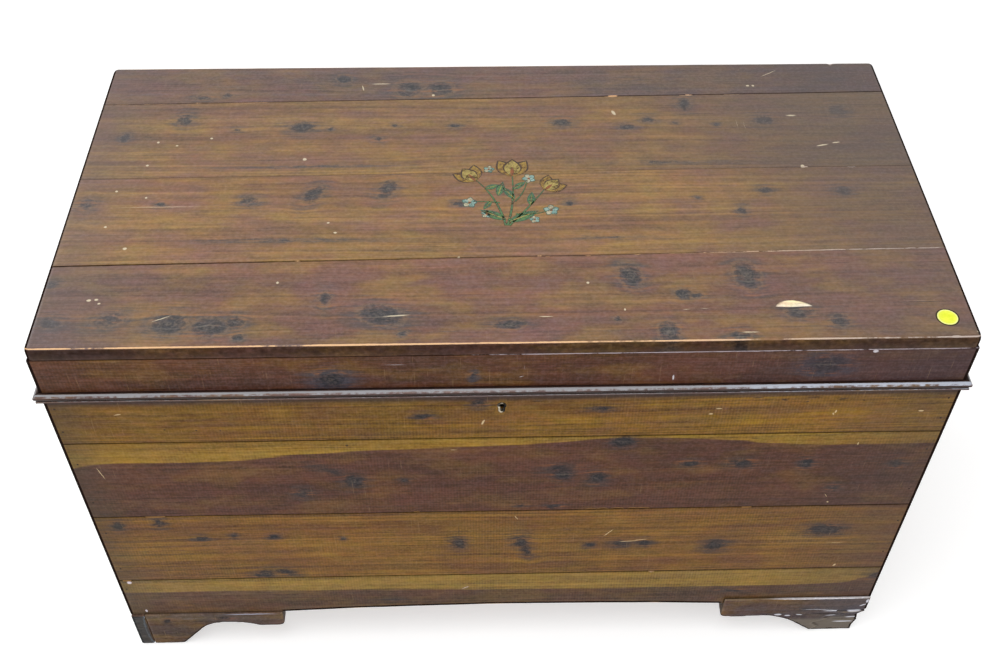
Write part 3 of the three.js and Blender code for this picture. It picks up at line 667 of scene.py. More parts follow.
def plank(node, along, across, material, seed, low=None, high=None, **wear):
    """A worn board in place of a CAD board: a rounded section swept along its grain.

    Low and high give its edges across the grain at places along it. Wear may hold radii of
    the four arrises, ends (how round its ends are at its low and high edge, its near and
    far face), dirty (how much dirt each arris holds, or holds at its start and stop),
    polished (arris, from where to where it is rubbed bare), underline (how wide the dark
    line along its low near edge is, and from where to where it runs) and chips: arris,
    place, half length and depth in mm."""
    wear = {**PLAIN_WEAR, **wear}
    first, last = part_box(node)
    through = 3 - along - across
    start, stop = first[along], last[along]
    places = stations(start, stop, max(wear["ends"]))
    distance = np.minimum(places - start, stop - places)
    inset_low, inset_high, inset_near, inset_far = (set_back(distance, size) for size in wear["ends"])
    edge_low = (low(places) if low else np.full_like(places, first[across])) + inset_low
    edge_high = (high(places) if high else np.full_like(places, last[across])) - inset_high
    edge_low = edge_low + EDGE_SWAY * np.clip(wobble(places, SWAY_PITCH, seed + 0.3) + 0.2, 0, 1)
    edge_high = edge_high - EDGE_SWAY * np.clip(wobble(places, SWAY_PITCH, seed + 0.6) + 0.2, 0, 1)
    near = first[through] + inset_near
    far = last[through] - inset_far
    limit = np.minimum(edge_high - edge_low, far - near) * MOST_ROUND
    sides = {-1: edge_low, 1: edge_high}
    faces = {-1: near, 1: far}
    worn = list(arris_wear(places, seed, wear["radii"], wear["chips"]))
    sizes = [np.minimum(size, limit) for size, _ in worn]
    line_width, *line_run = wear["underline"]
    lined = (places > line_run[0]) & (places < line_run[1])
    ring = []
    for index, (side, face) in enumerate(ARRISES):
        size = sizes[index]
        chipped = worn[index][1] / MM
        wide = wear["radii"][index] > WIDE_ROUND
        begin = math.pi / 2 * (2 - index)
        bare = 0.3 + chipped * 0.8 + 0.25 * wobble(places, BARE_PITCH, seed + 3 + index)
        for arris, from_place, to_place in wear["polished"]:
            if arris == index:
                bare = bare + 0.45 * np.clip((places / MM - from_place) / (to_place - from_place), 0, 1)
        dirt = np.interp(places, (start, stop), np.broadcast_to(wear["dirty"][index], 2))
        if index == 3 and line_width:
            dirt = np.where(lined, END_DARK, 0.1)
        for angle in np.linspace(begin, begin - math.pi / 2, ROUND_STEPS if wide else CORNER_STEPS):
            # A wide round gets a pale crest, worn wood with a painted highlight on it, and painted shade
            # on its steeper part below the crest.
            if wide:
                rise = abs(math.sin(angle))
                crest = min(1, max(0, 1.6 - abs(rise - 0.88) / 0.08))
                bare = crest * (0.8 + 0.5 * wobble(places, ROUND_PITCH, seed + 5)) + chipped * 0.3
                dirt = np.full_like(places, 0.15 if rise > 0.8 else 1.1)
            ring.append((
                sides[side] - side * size + size * math.cos(angle),
                faces[face] - face * size + size * math.sin(angle),
                np.clip(bare, 0, 1),
                dirt,
            ))
        if index in (0, 2):
            margin = np.minimum(EDGE_MARGIN, (edge_high - edge_low) * 0.1)
            begin_across = sides[side] - side * (size + margin)
            stop_across = sides[-side] + side * (sizes[index + 1] + margin)
            if index == 2:
                stop_across = stop_across + line_width
            for share in np.linspace(0, 1, FACE_STEPS + 1):
                ring.append((begin_across + (stop_across - begin_across) * share, faces[face], 0, 0))
            if index == 2 and line_width:
                ring.append((stop_across - margin, faces[face], 0, END_DARK * lined))
    points = np.zeros((len(places), len(ring), 3))
    marks = {name: np.zeros(points.shape[:2]) for name in ("wear", "edge")}
    for index, (place_across, place_through, bare, dirt) in enumerate(ring):
        points[:, index, along] = places
        points[:, index, across] = place_across
        points[:, index, through] = place_through
        marks["wear"][:, index] = bare
        marks["edge"][:, index] = dirt
    end_dark_line = END_DARK * np.clip((END_LINE + END_FADE - distance) / END_FADE, 0, 1)
    marks["edge"] = np.maximum(marks["edge"], end_dark_line[:, None])
    marks["board"] = np.full(points.shape[:2], seed * 0.731)
    faces = tube_faces(len(places), len(ring))
    return new_piece(node + "_plank", points.reshape(-1, 3), faces, material, marks)


def stands_for(piece, node, body):
    """The piece takes the CAD node's place on its body."""
    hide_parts(node)
    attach(piece, body)


def settle(piece):
    """Makes the shape that a piece's modifiers give it its own mesh."""
    shape = piece.evaluated_get(bpy.context.evaluated_depsgraph_get())
    mesh = bpy.data.meshes.new_from_object(shape)
    piece.modifiers.clear()
    piece.data = mesh
    mesh.set_sharp_from_angle(angle=SHARP)


def cut(piece, cutters):
    """Takes the cutters' shapes out of a piece; the cutters are gone afterwards."""
    for cutter in cutters:
        saw = piece.modifiers.new("cut", "BOOLEAN")
        saw.operation = "DIFFERENCE"
        saw.solver = "EXACT"
        saw.object = cutter
    settle(piece)
    for cutter in cutters:
        bpy.data.objects.remove(cutter)


def prism(outline, axis, start, stop):
    """A cutter: an outline in the two other axes, drawn out from start to stop."""
    others = [number for number in (X, Y, Z) if number != axis]
    points = np.zeros((2 * len(outline), 3))
    points[:, axis] = [start] * len(outline) + [stop] * len(outline)
    points[:, others] = list(outline) * 2
    return new_piece("cutter", points, tube_faces(2, len(outline)))


def block(low, high):
    """A cutter between two corners."""
    outline = [(low[0], low[1]), (high[0], low[1]), (high[0], high[1]), (low[0], high[1])]
    return prism(outline, Z, low[2], high[2])


# The play round a sunk piece, and how far a cutter runs past the wood
FIT = 0.3 * MM
OVERRUN = 5 * MM
# How thick the lock's plate is, and the keyhole: its eye, its slot, its length and its rim
LOCK_SHEET = 1.8 * MM
KEYHOLE_EYE = 3.2 * MM
KEYHOLE_SLOT = 3.6 * MM
KEYHOLE_TAIL = 10 * MM
KEYHOLE_RIM = 1.9 * MM


def keyhole(grow):
    """The keyhole's outline in X and Z, widened all round: an eye over a slot."""
    low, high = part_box("keyhole_escutcheon")
    middle = (low[X] + high[X]) / 2
    eye = high[Z] - KEYHOLE_RIM - KEYHOLE_EYE
    tail = eye - KEYHOLE_TAIL + KEYHOLE_SLOT / 2
    radius = KEYHOLE_EYE + grow
    half = KEYHOLE_SLOT / 2 + grow
    lean = math.asin(half / radius)
    turns = np.linspace(lean - math.pi / 2, math.pi * 3 / 2 - lean, 27)
    outline = [(middle + radius * math.cos(turn), eye + radius * math.sin(turn)) for turn in turns]
    turns = np.linspace(math.pi, math.tau, 13)
    return outline + [(middle + half * math.cos(turn), tail + half * math.sin(turn)) for turn in turns]


def lock_mortise():
    """Cutters for the lock's works, its plate and selvedge, the keyhole and its rim."""
    front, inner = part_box("front_board_1")[0][Y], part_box("front_board_1")[1][Y]
    plate_low, plate_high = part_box("lock_plate")
    works_low, works_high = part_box("lock_case")
    top = plate_high[Z]
    return [
        block(works_low - Vector((FIT, FIT, FIT)), (works_high[X] + FIT, inner + OVERRUN, top + OVERRUN)),
        block(
            (plate_low[X] - FIT, inner - LOCK_SHEET - FIT, plate_low[Z] - FIT),
            (plate_high[X] + FIT, inner + OVERRUN, top + OVERRUN),
        ),
        block(
            (plate_low[X] - FIT, plate_low[Y] - FIT, top - LOCK_SHEET - FIT),
            (plate_high[X] + FIT, inner + OVERRUN, top + OVERRUN),
        ),
        prism(keyhole(0), Y, front - OVERRUN, inner + OVERRUN),
        prism(keyhole(KEYHOLE_RIM + FIT), Y, front - OVERRUN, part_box("keyhole_escutcheon")[1][Y] + FIT),
    ]


# Each board's knots, pale specks and dark marks, as rows that nearest takes, and its tones
FRONT_KNOTS = [
    [(-30, 515, 7, 6, 0, 0.1), (-93, 492, 9, 5, 0, 0.25), (107, 501, 9, 3, 0, 0.15)],
    [
        (-180, 372, 10, 10), (-208, 394, 26, 7, -28, 0.75), (-243, 350, 9, 8, 0, 0.25),
        (-120, 372, 6, 4, 0, 0.35), (70, 379, 10, 9), (110, 372, 10, 9), (62, 392, 24, 9, 10, 0.85),
        (137, 440, 11, 9, 0, 0.1), (220, 397, 10, 6, 0, 0.15), (280, 395, 13, 8, 0, 0.2),
        (359, 392, 8, 9, 0, 0.2), (469, 390, 9, 7, 0, 0.3), (403, 343, 9, 5, 0, 0.5),
        (20, 317, 10, 4, 0, 0.6), (60, 313, 12, 5, 0, 0.55),
    ],
    [
        (-480, 287, 6, 8, 0, 0.2), (-427, 292, 8, 10, 0, 0.35), (-381, 255, 8, 6, 0, 0.3),
        (-339, 261, 5, 4, 0, 0.3), (-290, 257, 7, 6, 0, 0.3), (-203, 250, 4, 4, 0, 0.4),
        (-57, 235, 8, 10, 0, 0.1), (22, 236, 10, 11, 0, 0.15), (30, 214, 7, 16, 12, 0.35),
        (110, 225, 6, 5, 0, 0.3), (150, 227, 9, 6, 0, 0.2), (180, 228, 9, 6, 0, 0.25),
        (273, 220, 12, 9, 0, 0.05), (410, 252, 20, 10, 0, 0.1), (-312, 170, 14, 8, 20, 0.2),
        (-284, 174, 14, 6, -14, 0.25),
    ],
    [(310, 108, 20, 4, -6, 0.6), (500, 138, 11, 9, 0, 0.55), (-150, 100, 16, 4, 0, 0.7)],
]
FRONT_PALE = [
    [
        (-432, 503, 4, 0.7, 10), (-26, 480, 1.2, 4.5, -20), (240, 498, 3.5, 0.8), (232, 489, 2.5, 1.1),
        (374, 490, 1, 2.6, -12), (472, 489, 3, 1.1), (372, 486, 0.8, 2, 20),
    ],
    [
        (-475, 395, 0.6, 13, 14, 0.2), (396, 327, 0.5, 5, 30, 0.35), (401, 313, 1.3, 1.3),
        (-60, 430, 5, 0.5, 0, 0.3), (413, 430, 1, 3, 0, 0.2),
    ],
    [
        (133, 253, 0.6, 9, -38), (160, 233, 13, 0.7, 4, 0.1), (176, 236, 9, 0.6, 9, 0.1),
        (15, 290, 0.7, 6, 30, 0.3), (440, 168, 2, 4, -30, 0.3), (430, 221, 16, 0.5, 0, 0.4),
    ],
    [(-493, 155, 3, 3), (197, 160, 3.5, 1.6), (-485, 83, 1.6, 3), (-50, 128, 9, 0.6, 32, 0.4)],
]
FRONT_DARK = [
    [
        (-385, 475, 1.2, 1.2), (-350, 473, 1.2, 1.2), (-323, 472, 1.2, 1.2), (281, 516, 9, 1, 3, 0.2),
        (312, 512, 6, 2.4, -12, 0.3), (345, 516, 12, 1.1, 0, 0.2), (338, 508, 5, 1.6, 24, 0.4),
        (378, 512, 9, 2, 8, 0.35), (402, 509, 4, 1.2, -30, 0.4), (505, 469, 5, 0.6, 6),
        (503, 503, 6, 0.6, -4), (35, 516, 10, 1.2, 0, 0.2),
    ],
    [
        (-183, 441, 1.8, 1.8), (-455, 393, 30, 0.5, 0, 0.3), (290, 443, 6, 0.8, 0, 0.2),
        (-350, 413, 12, 0.8, 0, 0.3),
    ],
    [(-57, 262, 0.8, 12, 0, 0.3), (80, 262, 10, 0.5, -24, 0.3), (100, 256, 9, 0.5, -10, 0.4)],
    [(-330, 152, 14, 0.5, 0, 0.4), (60, 100, 30, 0.5, -3, 0.4), (330, 118, 40, 0.6, 2, 0.5)],
]
FRONT_TONES = [("795912", "64470f"), ("4d3122", "3f261a"), ("6f4f1b", "5d3e15"), ("503d2b", "453223")]
# Sapwood: between which heights its lower edge lies, that edge, and its two tones
FRONT_SAPWOOD = {
    1: (
        300, 452,
        [
            (-508, 405), (-470, 413), (-353, 414), (-187, 430), (47, 440), (130, 448), (273, 440),
            (313, 433), (508, 430),
        ],
        "816420", "75571c",
    ),
    3: (
        75, 161,
        [(-508, 132), (-253, 127), (-53, 123), (280, 120), (447, 123), (480, 133), (508, 156)],
        "795f2a", "6e5623",
    ),
}
# Chips along each board's edges: which arris, place, half length and depth
FRONT_CHIPS = [
    [(3, 60, 6, 0.8), (3, -210, 9, 0.6), (3, 330, 7, 0.6)],
    [
        (3, 108, 7, 1.6), (3, 122, 8, 2), (3, 140, 10, 2.2), (3, 158, 7, 1.9), (3, 172, 9, 1.5),
        (3, -107, 4, 1.6),
    ],
    [(2, -430, 14, 0.9), (2, 300, 12, 0.7), (3, -60, 8, 0.5), (3, 420, 10, 0.5)],
    [(2, -495, 6, 1.6), (2, 197, 4, 1.2), (3, -10, 40, 0.8), (3, 210, 30, 0.7), (3, -200, 30, 0.6)],
]
# The apron's arch: its rise, half its length, and how wide the dark line under it is
ARCH_RISE = 9 * MM
ARCH_HALF = 301 * MM
APRON_LINE = 3 * MM


def arch(places):
    """The apron's lower edge, a shallow curve between the front feet."""
    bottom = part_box("front_board_4")[0][Z]
    return bottom + ARCH_RISE * np.clip(1 - (places / ARCH_HALF) ** 2, 0, 1)


for index in range(4):
    node = f"front_board_{index + 1}"
    look = {
        "knots": FRONT_KNOTS[index],
        "pale": FRONT_PALE[index],
        "dark": FRONT_DARK[index],
        "planer": 1,
        "raw": Y,
        "veils": [(X, 0.33, 0.52, 0.38, "3f3430"), (X, -0.44, -0.512, 0.45, "3a3429")],
        "tint": (0.35, 0.22, 0.35, 0.25)[index],
        "haze": 0.08,
    }
    if index == 3:
        look["speck"] = "d6ccd4"
    # On the highest board a dark band along its top is a painted shadow of the bead moulding.
    if index == 0:
        look["veils"].append((Z, 0.5125, 0.5235, 0.8, "2a1f20"))
    if index in FRONT_SAPWOOD:
        look["sapwood"] = FRONT_SAPWOOD[index]
    finish = cedar(f"front_cedar_{index + 1}", X, Z, *FRONT_TONES[index], **look)
    apron = {"low": arch, "underline": (APRON_LINE, -ARCH_HALF, ARCH_HALF)} if index == 3 else {}
    board = plank(node, X, Z, finish, 11 + index, chips=FRONT_CHIPS[index], **apron)
    if index == 0:
        cut(board, lock_mortise())
    stands_for(board, node, "chest_case")

# Back wall
# Four plainer cedar boards, nailed on like the front ones; they show fewer knots and less wear.
# The top board is notched for the case leaves of the two butt hinges.

# How thick a hinge leaf is, and the play round it
LEAF = 2 * MM
LEAF_GAP = 0.3 * MM


def scattered(seed, count, along, across, size=(7, 6)):
    """Knots at places of no pattern: rows as nearest takes them, in mm."""
    chance = random.Random(seed)
    rows = []
    for _ in range(count):
        wide = size[0] * chance.uniform(0.6, 1.3)
        high = size[1] * chance.uniform(0.6, 1.3)
        place = (chance.uniform(*along), chance.uniform(*across))
        rows.append((*place, wide, high, chance.uniform(-20, 20), chance.uniform(0.05, 0.5)))
    return rows


def leaf_notches(kind, up):
    """Cutters for the seats of the hinge leaves in an edge of the back wall or back rail."""
    cutters = []
    for side in ("left", "right"):
        low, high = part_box(f"hinge_{kind}_leaf_{side}")
        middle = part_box(f"hinge_pin_{side}")
        level = (middle[0][Z] + middle[1][Z]) / 2
        seat = LEAF + FIT + LEAF_GAP
        bottom, top = (level - seat, level + OVERRUN) if up else (level - OVERRUN, level + seat)
        cutters.append(block((low[X] - FIT, low[Y] - OVERRUN, bottom), (high[X] + FIT, high[Y], top)))
    return cutters


back_cedar = cedar(
    "back_cedar", X, Z, "6b4e38", "56392a",
    knots=scattered(4, 16, (-490, 490), (90, 520)), raw=Y, hair=0.35, figure=1.1,
)
for index in range(4):
    node = f"back_board_{index + 1}"
    board = plank(node, X, Z, back_cedar, 31 + index * 1.3)
    if index == 0:
        cut(board, leaf_notches("case", True))
    stands_for(board, node, "chest_case")

# End walls
# Four cedar boards at each end, between the front and back walls, with their grain level.
# They are varnished outside and left bare inside, for the smell of the cedar.
end_cedar = cedar(
    "end_cedar", Y, Z, "76552f", "5e4029",
    knots=scattered(8, 15, (-225, 225), (90, 520), (8, 8)), raw=X, planer=0.8, hair=0.3,
)
for side, seed in (("left", 47), ("right", 53)):
    for index in range(4):
        node = f"{side}_board_{index + 1}"
        board = plank(node, Y, Z, end_cedar, seed + index * 1.7)
        stands_for(board, node, "chest_case")

# Floor
# Three bare cedar boards along the chest, on a cleat at each end and a batten in the middle,
# with a glue block standing in each corner below them.
bare_cedar = cedar(
    "bare_cedar", X, Y, "ab886a", "91664f",
    knots=scattered(12, 18, (-480, 480), (-230, 230)), raw=None, planer=0.6, hair=0.1,
)
cleat_cedar = cedar("cleat_cedar", Y, X, "a07a58", "845a44", raw=None, planer=0.5, hair=0.1)
block_cedar = cedar("block_cedar", Z, X, "9b7553", "7c543e", raw=None, hair=0.1)
for index in range(3):
    node = f"floor_board_{index + 1}"
    stands_for(plank(node, X, Y, bare_cedar, 61 + index), node, "chest_case")
for index, node in enumerate(("floor_cleat_left", "floor_cleat_right", "floor_batten")):
    stands_for(plank(node, Y, X, cleat_cedar, 65 + index), node, "chest_case")
for index, corner in enumerate(("front_left", "front_right", "back_left", "back_right")):
    node = "glue_block_" + corner
    stands_for(plank(node, Z, X, block_cedar, 69 + index), node, "chest_case")

# Bracket feet
# Cedar brackets sawn with a curved underside and glued under the walls; the front pair stands
# a little proud. Long wear on the floor has rounded them, and the right front one has split.

# How finely the feet are drawn, and in how many steps and how much each is softened
FOOT_GRAIN = {"front": 1.4 * MM, "plain": 2.2 * MM}
SOFTEN_STEPS = 5
SOFTEN_SHARE = 0.6
# How far a rubbed arris has gone back where it counts as rubbed bare
RUBBED_BACK = 0.5 * MM
# How deep its dents are, and how many it has to the metre, large and small
DENTS = 0.28 * MM
DENT_SCALES = (90, 260)
# The right foot's broken corner, the area that has flaked off beside it and the split above
SPLIT_CORNER = [
    (0.4975, -0.005), (0.4975, 0.012), (0.5015, 0.026), (0.4992, 0.041), (0.506, 0.047),
    (0.52, 0.055), (0.53, 0.055), (0.53, -0.005),
]
FLAKED_AREA = [
    (0.43, -0.005), (0.447, 0.012), (0.436, 0.022), (0.458, 0.031), (0.449, 0.037), (0.478, 0.041),
    (0.470, 0.046), (0.503, 0.050), (0.52, 0.052), (0.52, -0.005),
]
SPLINTER = [
    (0.448, 0.0535), (0.47, 0.0555), (0.488, 0.0548), (0.499, 0.057), (0.52, 0.056), (0.52, 0.052),
    (0.475, 0.0515),
]
FLAKE_DEPTH = 2.6 * MM
SPLINTER_DEPTH = 5.5 * MM
# The dark rim on a front face: how wide it is, and at what depth the arris beside it is found
RIM_LINE = 3.4 * MM
RIM_DEPTHS = (6.5 * MM, 10 * MM)
# The old glue line on the left bracket: half its width, and how far it bows
GLUE_LINE = 1.1 * MM
GLUE_BOW = 3.4 * MM


def outlined(places, normals, ways):
    """END_DARK where a front face comes close to an arris that turns these ways, else 0."""
    dark = np.zeros(len(places))
    if ways:
        front = normals[:, Y] < -0.6
        turned = np.max([way * normals[:, axis] for axis, way in ways], axis=0) > 0.6
        depth = places[:, Y] - places[:, Y].min()
        rim = np.flatnonzero(turned & (depth > RIM_DEPTHS[0]) & (depth < RIM_DEPTHS[1]))
        near = kdtree.KDTree(len(rim))
        for index in rim:
            near.insert((places[index, X], places[index, Z], 0), index)
        near.balance()
        for index in np.flatnonzero(front):
            if near.find((places[index, X], places[index, Z], 0))[2] < RIM_LINE:
                dark[index] = END_DARK
    return dark


def read_numbers(items, name, width, kind=float):
    """One number or more of every item of a mesh, as rows."""
    numbers = np.zeros(len(items) * width, kind)
    items.foreach_get(name, numbers)
    return numbers.reshape(-1, width)


def weathered(node, material, grain, cutters=(), ways=()):
    """A worn copy of a CAD solid: its arrises rubbed round and its faces dented."""
    piece = bpy.data.objects.new(node + "_worn", nodes[node].data.copy())
    bpy.context.scene.collection.objects.link(piece)
    piece.data.materials.clear()
    if cutters:
        cut(piece, cutters)
    remesh = piece.modifiers.new("grain", "REMESH")
    remesh.mode = "VOXEL"
    remesh.voxel_size = grain
    settle(piece)
    mesh = piece.data
    places = read_numbers(mesh.vertices, "co", 3)
    normals = read_numbers(mesh.vertices, "normal", 3)
    edges = read_numbers(mesh.edges, "vertices", 2, int)
    links = np.bincount(edges.ravel(), minlength=len(places))[:, None]
    soft = places.copy()
    for _ in range(SOFTEN_STEPS):
        around = np.zeros_like(soft)
        np.add.at(around, edges[:, 0], soft[edges[:, 1]])
        np.add.at(around, edges[:, 1], soft[edges[:, 0]])
        soft = soft * (1 - SOFTEN_SHARE) + around / links * SOFTEN_SHARE
    rubbed = np.einsum("ij,ij->i", places - soft, normals) / RUBBED_BACK
    coarse, fine = ([noise.noise(Vector(place * scale)) for place in soft] for scale in DENT_SCALES)
    dents = np.array(coarse) + 0.5 * np.array(fine)
    soft -= normals * (DENTS * np.clip(dents, 0, 1))[:, None]
    low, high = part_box(node)
    soft = np.clip(soft, low, high)
    mesh.vertices.foreach_set("co", soft.ravel())
    outline = outlined(soft, normals, ways)
    rubbed_bare = np.clip(0.15 + 0.5 * rubbed, 0, 1) * (outline == 0)
    if node == "foot_side_left_front":
        front = soft[:, Y] < low[Y] + RIM_DEPTHS[0]
        bow = high[X] - GLUE_BOW * np.sin(math.pi * soft[:, Z] / high[Z])
        glued = (normals[:, Y] < -0.6) & (np.abs(soft[:, X] - bow + GLUE_LINE) < GLUE_LINE)
        rubbed_bare = np.where(front, glued, rubbed_bare)
    mark_points(mesh, {
        "wear": rubbed_bare,
        "edge": np.maximum(np.clip(0.25 - rubbed, 0, 1), outline),
        "board": np.full(len(places), len(piece.name) * 0.37),
    })
    mesh.materials.append(material)
    mesh.shade_smooth()
    mesh.update()
    return piece


FOOT_LOOK = {
    "grime_and_shade": 0.1, "hair": 0.4, "rubbed": "80705a", "worn": 0.5, "rough": 0.5, "ends": ("3a2f27", "50433a"),
}
left_foot_cedar = cedar(
    "left_foot_cedar", X, Z, "5a4a3a", "4a3a2f",
    knots=[(-460, 62, 5, 6, 0, 0.3), (-380, 66, 12, 5, 0, 0.6)],
    pale=[(-345, 75, 46, 1.2, 0, 0.3), (-430, 66, 30, 0.5, 0, 0.5), (-405, 45, 6, 0.6, 0, 0.4)],
    speck="9597a6", planer=0.4, violet="4d4245", **FOOT_LOOK,
)
right_foot_cedar = cedar(
    "right_foot_cedar", X, Z, "54473f", "453a37",
    knots=[(430, 62, 24, 4, 0, 0.5)],
    pale=[
        (448, 88.2, 74, 1.6), (385, 48, 5, 2), (399, 45, 4, 1.6), (473, 55, 25, 1.7, -2),
        (492, 52, 9, 2.4), (482, 22, 14, 1.3), (440, 60, 30, 0.6, -2, 0.3), (492, 34, 9, 1.2, 3),
        (415, 47, 5, 1, -8, 0.1), (500, 70, 5, 1.2, 30), (460, 44, 8, 0.8, 4, 0.1),
        (504, 80, 2, 5, 0, 0.1),
    ],
    dark=[
        (452, 48, 26, 2.2, -6, 0.1), (470, 38, 30, 1.2, 4, 0.1), (410, 72, 26, 0.7, -3, 0.4),
        (478, 30, 20, 1, 2, 0.2), (506, 62, 6, 2, -20, 0.1),
    ],
    speck="e6e7f0", planer=0.4, violet="46404a", **FOOT_LOOK,
    veils=[(X, 0.38, 0.48, 0.6, "46464f"), (Z, 0.04, 0.03, 0.8, "736a5e")],
)
side_foot_cedar = cedar("side_foot_cedar", Y, Z, "5a4636", "49372b", **FOOT_LOOK)
end_foot_cedar = cedar(
    "end_foot_cedar", Y, Z, "5a4636", "49372b",
    **{**FOOT_LOOK, "ends": ("24282a", "393d3f"), "rubbed": "9199a4", "worn": 0.8},
)
back_foot_cedar = cedar("back_foot_cedar", X, Z, "5f4a3a", "4e3a2e", **FOOT_LOOK)
# Each bracket, its finish, how finely it is worn, and where its front face has a dark rim
FEET = [
    ("foot_front_left", left_foot_cedar, "front", ((Z, -1),)),
    ("foot_front_right", right_foot_cedar, "front", ((Z, -1), (X, 1))),
    ("foot_side_left_front", end_foot_cedar, "front", ((Z, -1), (X, -1))),
    ("foot_side_right_front", end_foot_cedar, "plain", ((Z, -1), (X, 1))),
    ("foot_side_left_back", side_foot_cedar, "plain", ()),
    ("foot_side_right_back", side_foot_cedar, "plain", ()),
    ("foot_back_left", back_foot_cedar, "plain", ()),
    ("foot_back_right", back_foot_cedar, "plain", ()),
]
for node, finish, kind, ways in FEET:
    cutters = []
    if node == "foot_front_right":
        face, inner = (corner[Y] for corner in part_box(node))
        cutters = [
            prism(SPLIT_CORNER, Y, face - OVERRUN, inner + OVERRUN),
            prism(FLAKED_AREA, Y, face - OVERRUN, face + FLAKE_DEPTH),
            prism(SPLINTER, Y, face - OVERRUN, face + SPLINTER_DEPTH),
        ]
    foot = weathered(node, finish, FOOT_GRAIN[kind], cutters, ways)
    stands_for(foot, node, "chest_case")

# Lid top
# Four wide cedar boards glued edge to edge along slightly slanted seams, with a rounded edge
# and corners. The varnish has hazed, and the front arris is rubbed down to pale wood along its
# crest, with a painted highlight there and painted shade on the steeper round below it.
LID_ROUND = 5 * MM
LID_CORNER = 7 * MM
LID_EASED = 0.4 * MM
# Half gaps of the three seams, and how much dirt lies in each at its left and right end
LID_SEAMS = [(0.28 * MM, (1.3, 0.2)), (0.08 * MM, 0.35), (0.2 * MM, (0.7, 1))]
# Where each board's arrises are rubbed bare
LID_RUBBED = [[(1, 60, 260)], [(0, 120, 340)], [(1, -60, -600)], []]
LID_TINTS = (0.5, 0.5, 0.45, 0.28)
# On the lid the rubbed colour is pale worn wood along the seams and on the crest of the round front edge,
# where it is also a painted highlight; toward the right end it goes greyer, a painted reflection.
LID_LOOK = {
    "gloss": 0.5, "rough": 0.34, "relief": 0.5, "figure": 0.8, "ruddy": 0.4, "glow": 0.5, "hair": 0.14,
    "worn": 1, "split": 0.25, "ring": 0.4, "raw": Z, "blush": "69432b", "violet": "6b4844",
    "gold": "86662f", "halo": "3d3a3a", "ember": "8f5a2c", "knot": "514941", "speck": "d2c4a6",
    "rubbed": "cfa57a", "bleached": (X, 0.1, 0.45, "a99a90"),
}
# The front face of the chest, in mm, from which places on the lid are counted
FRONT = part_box("front_board_1")[0][Y] / MM
LID_KNOTS = [
    [
        (140, 102, 10, 16, 8), (270, 100, 11, 17, 5), (196, 72, 7, 7), (210, 68, 9, 5, 0, 0.5),
        (173, 15, 9, 12), (247, 5, 10, 8, 0, 0.1), (3, 28, 14, 6, 0, 0.15), (318, 42, 12, 8, 0, 0.1),
        (360, 28, 9, 8, 0, 0.2), (120, 35, 5, 4, 0, 0.4), (-135, 45, 20, 12, -15, 0.1),
        (-111, 17, 6, 5, 0, 0.3), (-362, 37, 16, 14, 0, 0.15), (-318, 30, 16, 11, 0, 0.1),
        (-290, 37, 9, 9, 0, 0.3), (-285, 15, 7, 6, 0, 0.4), (-425, 43, 18, 10, 20, 0.4),
        (-487, 40, 12, 8, 0, 0.3), (-500, 98, 8, 6, 0, 0.3), (-197, 70, 8, 14, 0, 0.55),
    ],
    [
        (-487, 232, 9, 10, 0, 0.35), (-400, 231, 6, 5, 0, 0.3), (-297, 235, 10, 8, 0, 0.25),
        (-223, 245, 9, 18, -25, 0.3), (-135, 255, 9, 17, -20, 0.25), (-50, 225, 7, 5, 0, 0.3),
        (80, 225, 5, 5, 0, 0.3), (233, 233, 5, 4, 0, 0.4), (283, 210, 6, 7, 0, 0.45),
        (317, 245, 8, 6, 0, 0.3), (410, 243, 10, 8, 0, 0.25), (120, 165, 60, 3, 0, 0.95),
        (-250, 165, 80, 3, 0, 0.95),
    ],
    [
        (-465, 358, 6, 8, 0, 0.3), (-397, 393, 9, 11, 0, 0.25), (-247, 375, 13, 9, 0, 0.1),
        (-212, 373, 4, 3, 0, 0.3), (-130, 378, 5, 4, 0, 0.4), (-150, 350, 8, 6, 0, 0.6),
        (-55, 376, 5, 4, 0, 0.3), (-328, 372, 7, 4, 0, 0.6), (80, 380, 13, 7, 0, 0.2),
        (163, 371, 9, 6, 0, 0.3), (190, 385, 10, 6, 0, 0.3), (225, 378, 5, 4, 0, 0.45),
        (337, 381, 12, 8, 0, 0.2), (437, 401, 12, 10, 0, 0.25), (277, 374, 4, 4, 0, 0.4),
        (240, 420, 9, 12, 0, 0.3), (-220, 298, 90, 3, 0, 0.95), (200, 300, 90, 4, 0, 0.95),
    ],
    [
        (-380, 440, 14, 7, 0, 0.6), (-350, 445, 8, 6, 0, 0.6), (-201, 479, 9, 9, 0, 0.3),
        (-115, 455, 20, 20, 0, 0.45), (-75, 455, 18, 16, 0, 0.35),
    ],
]
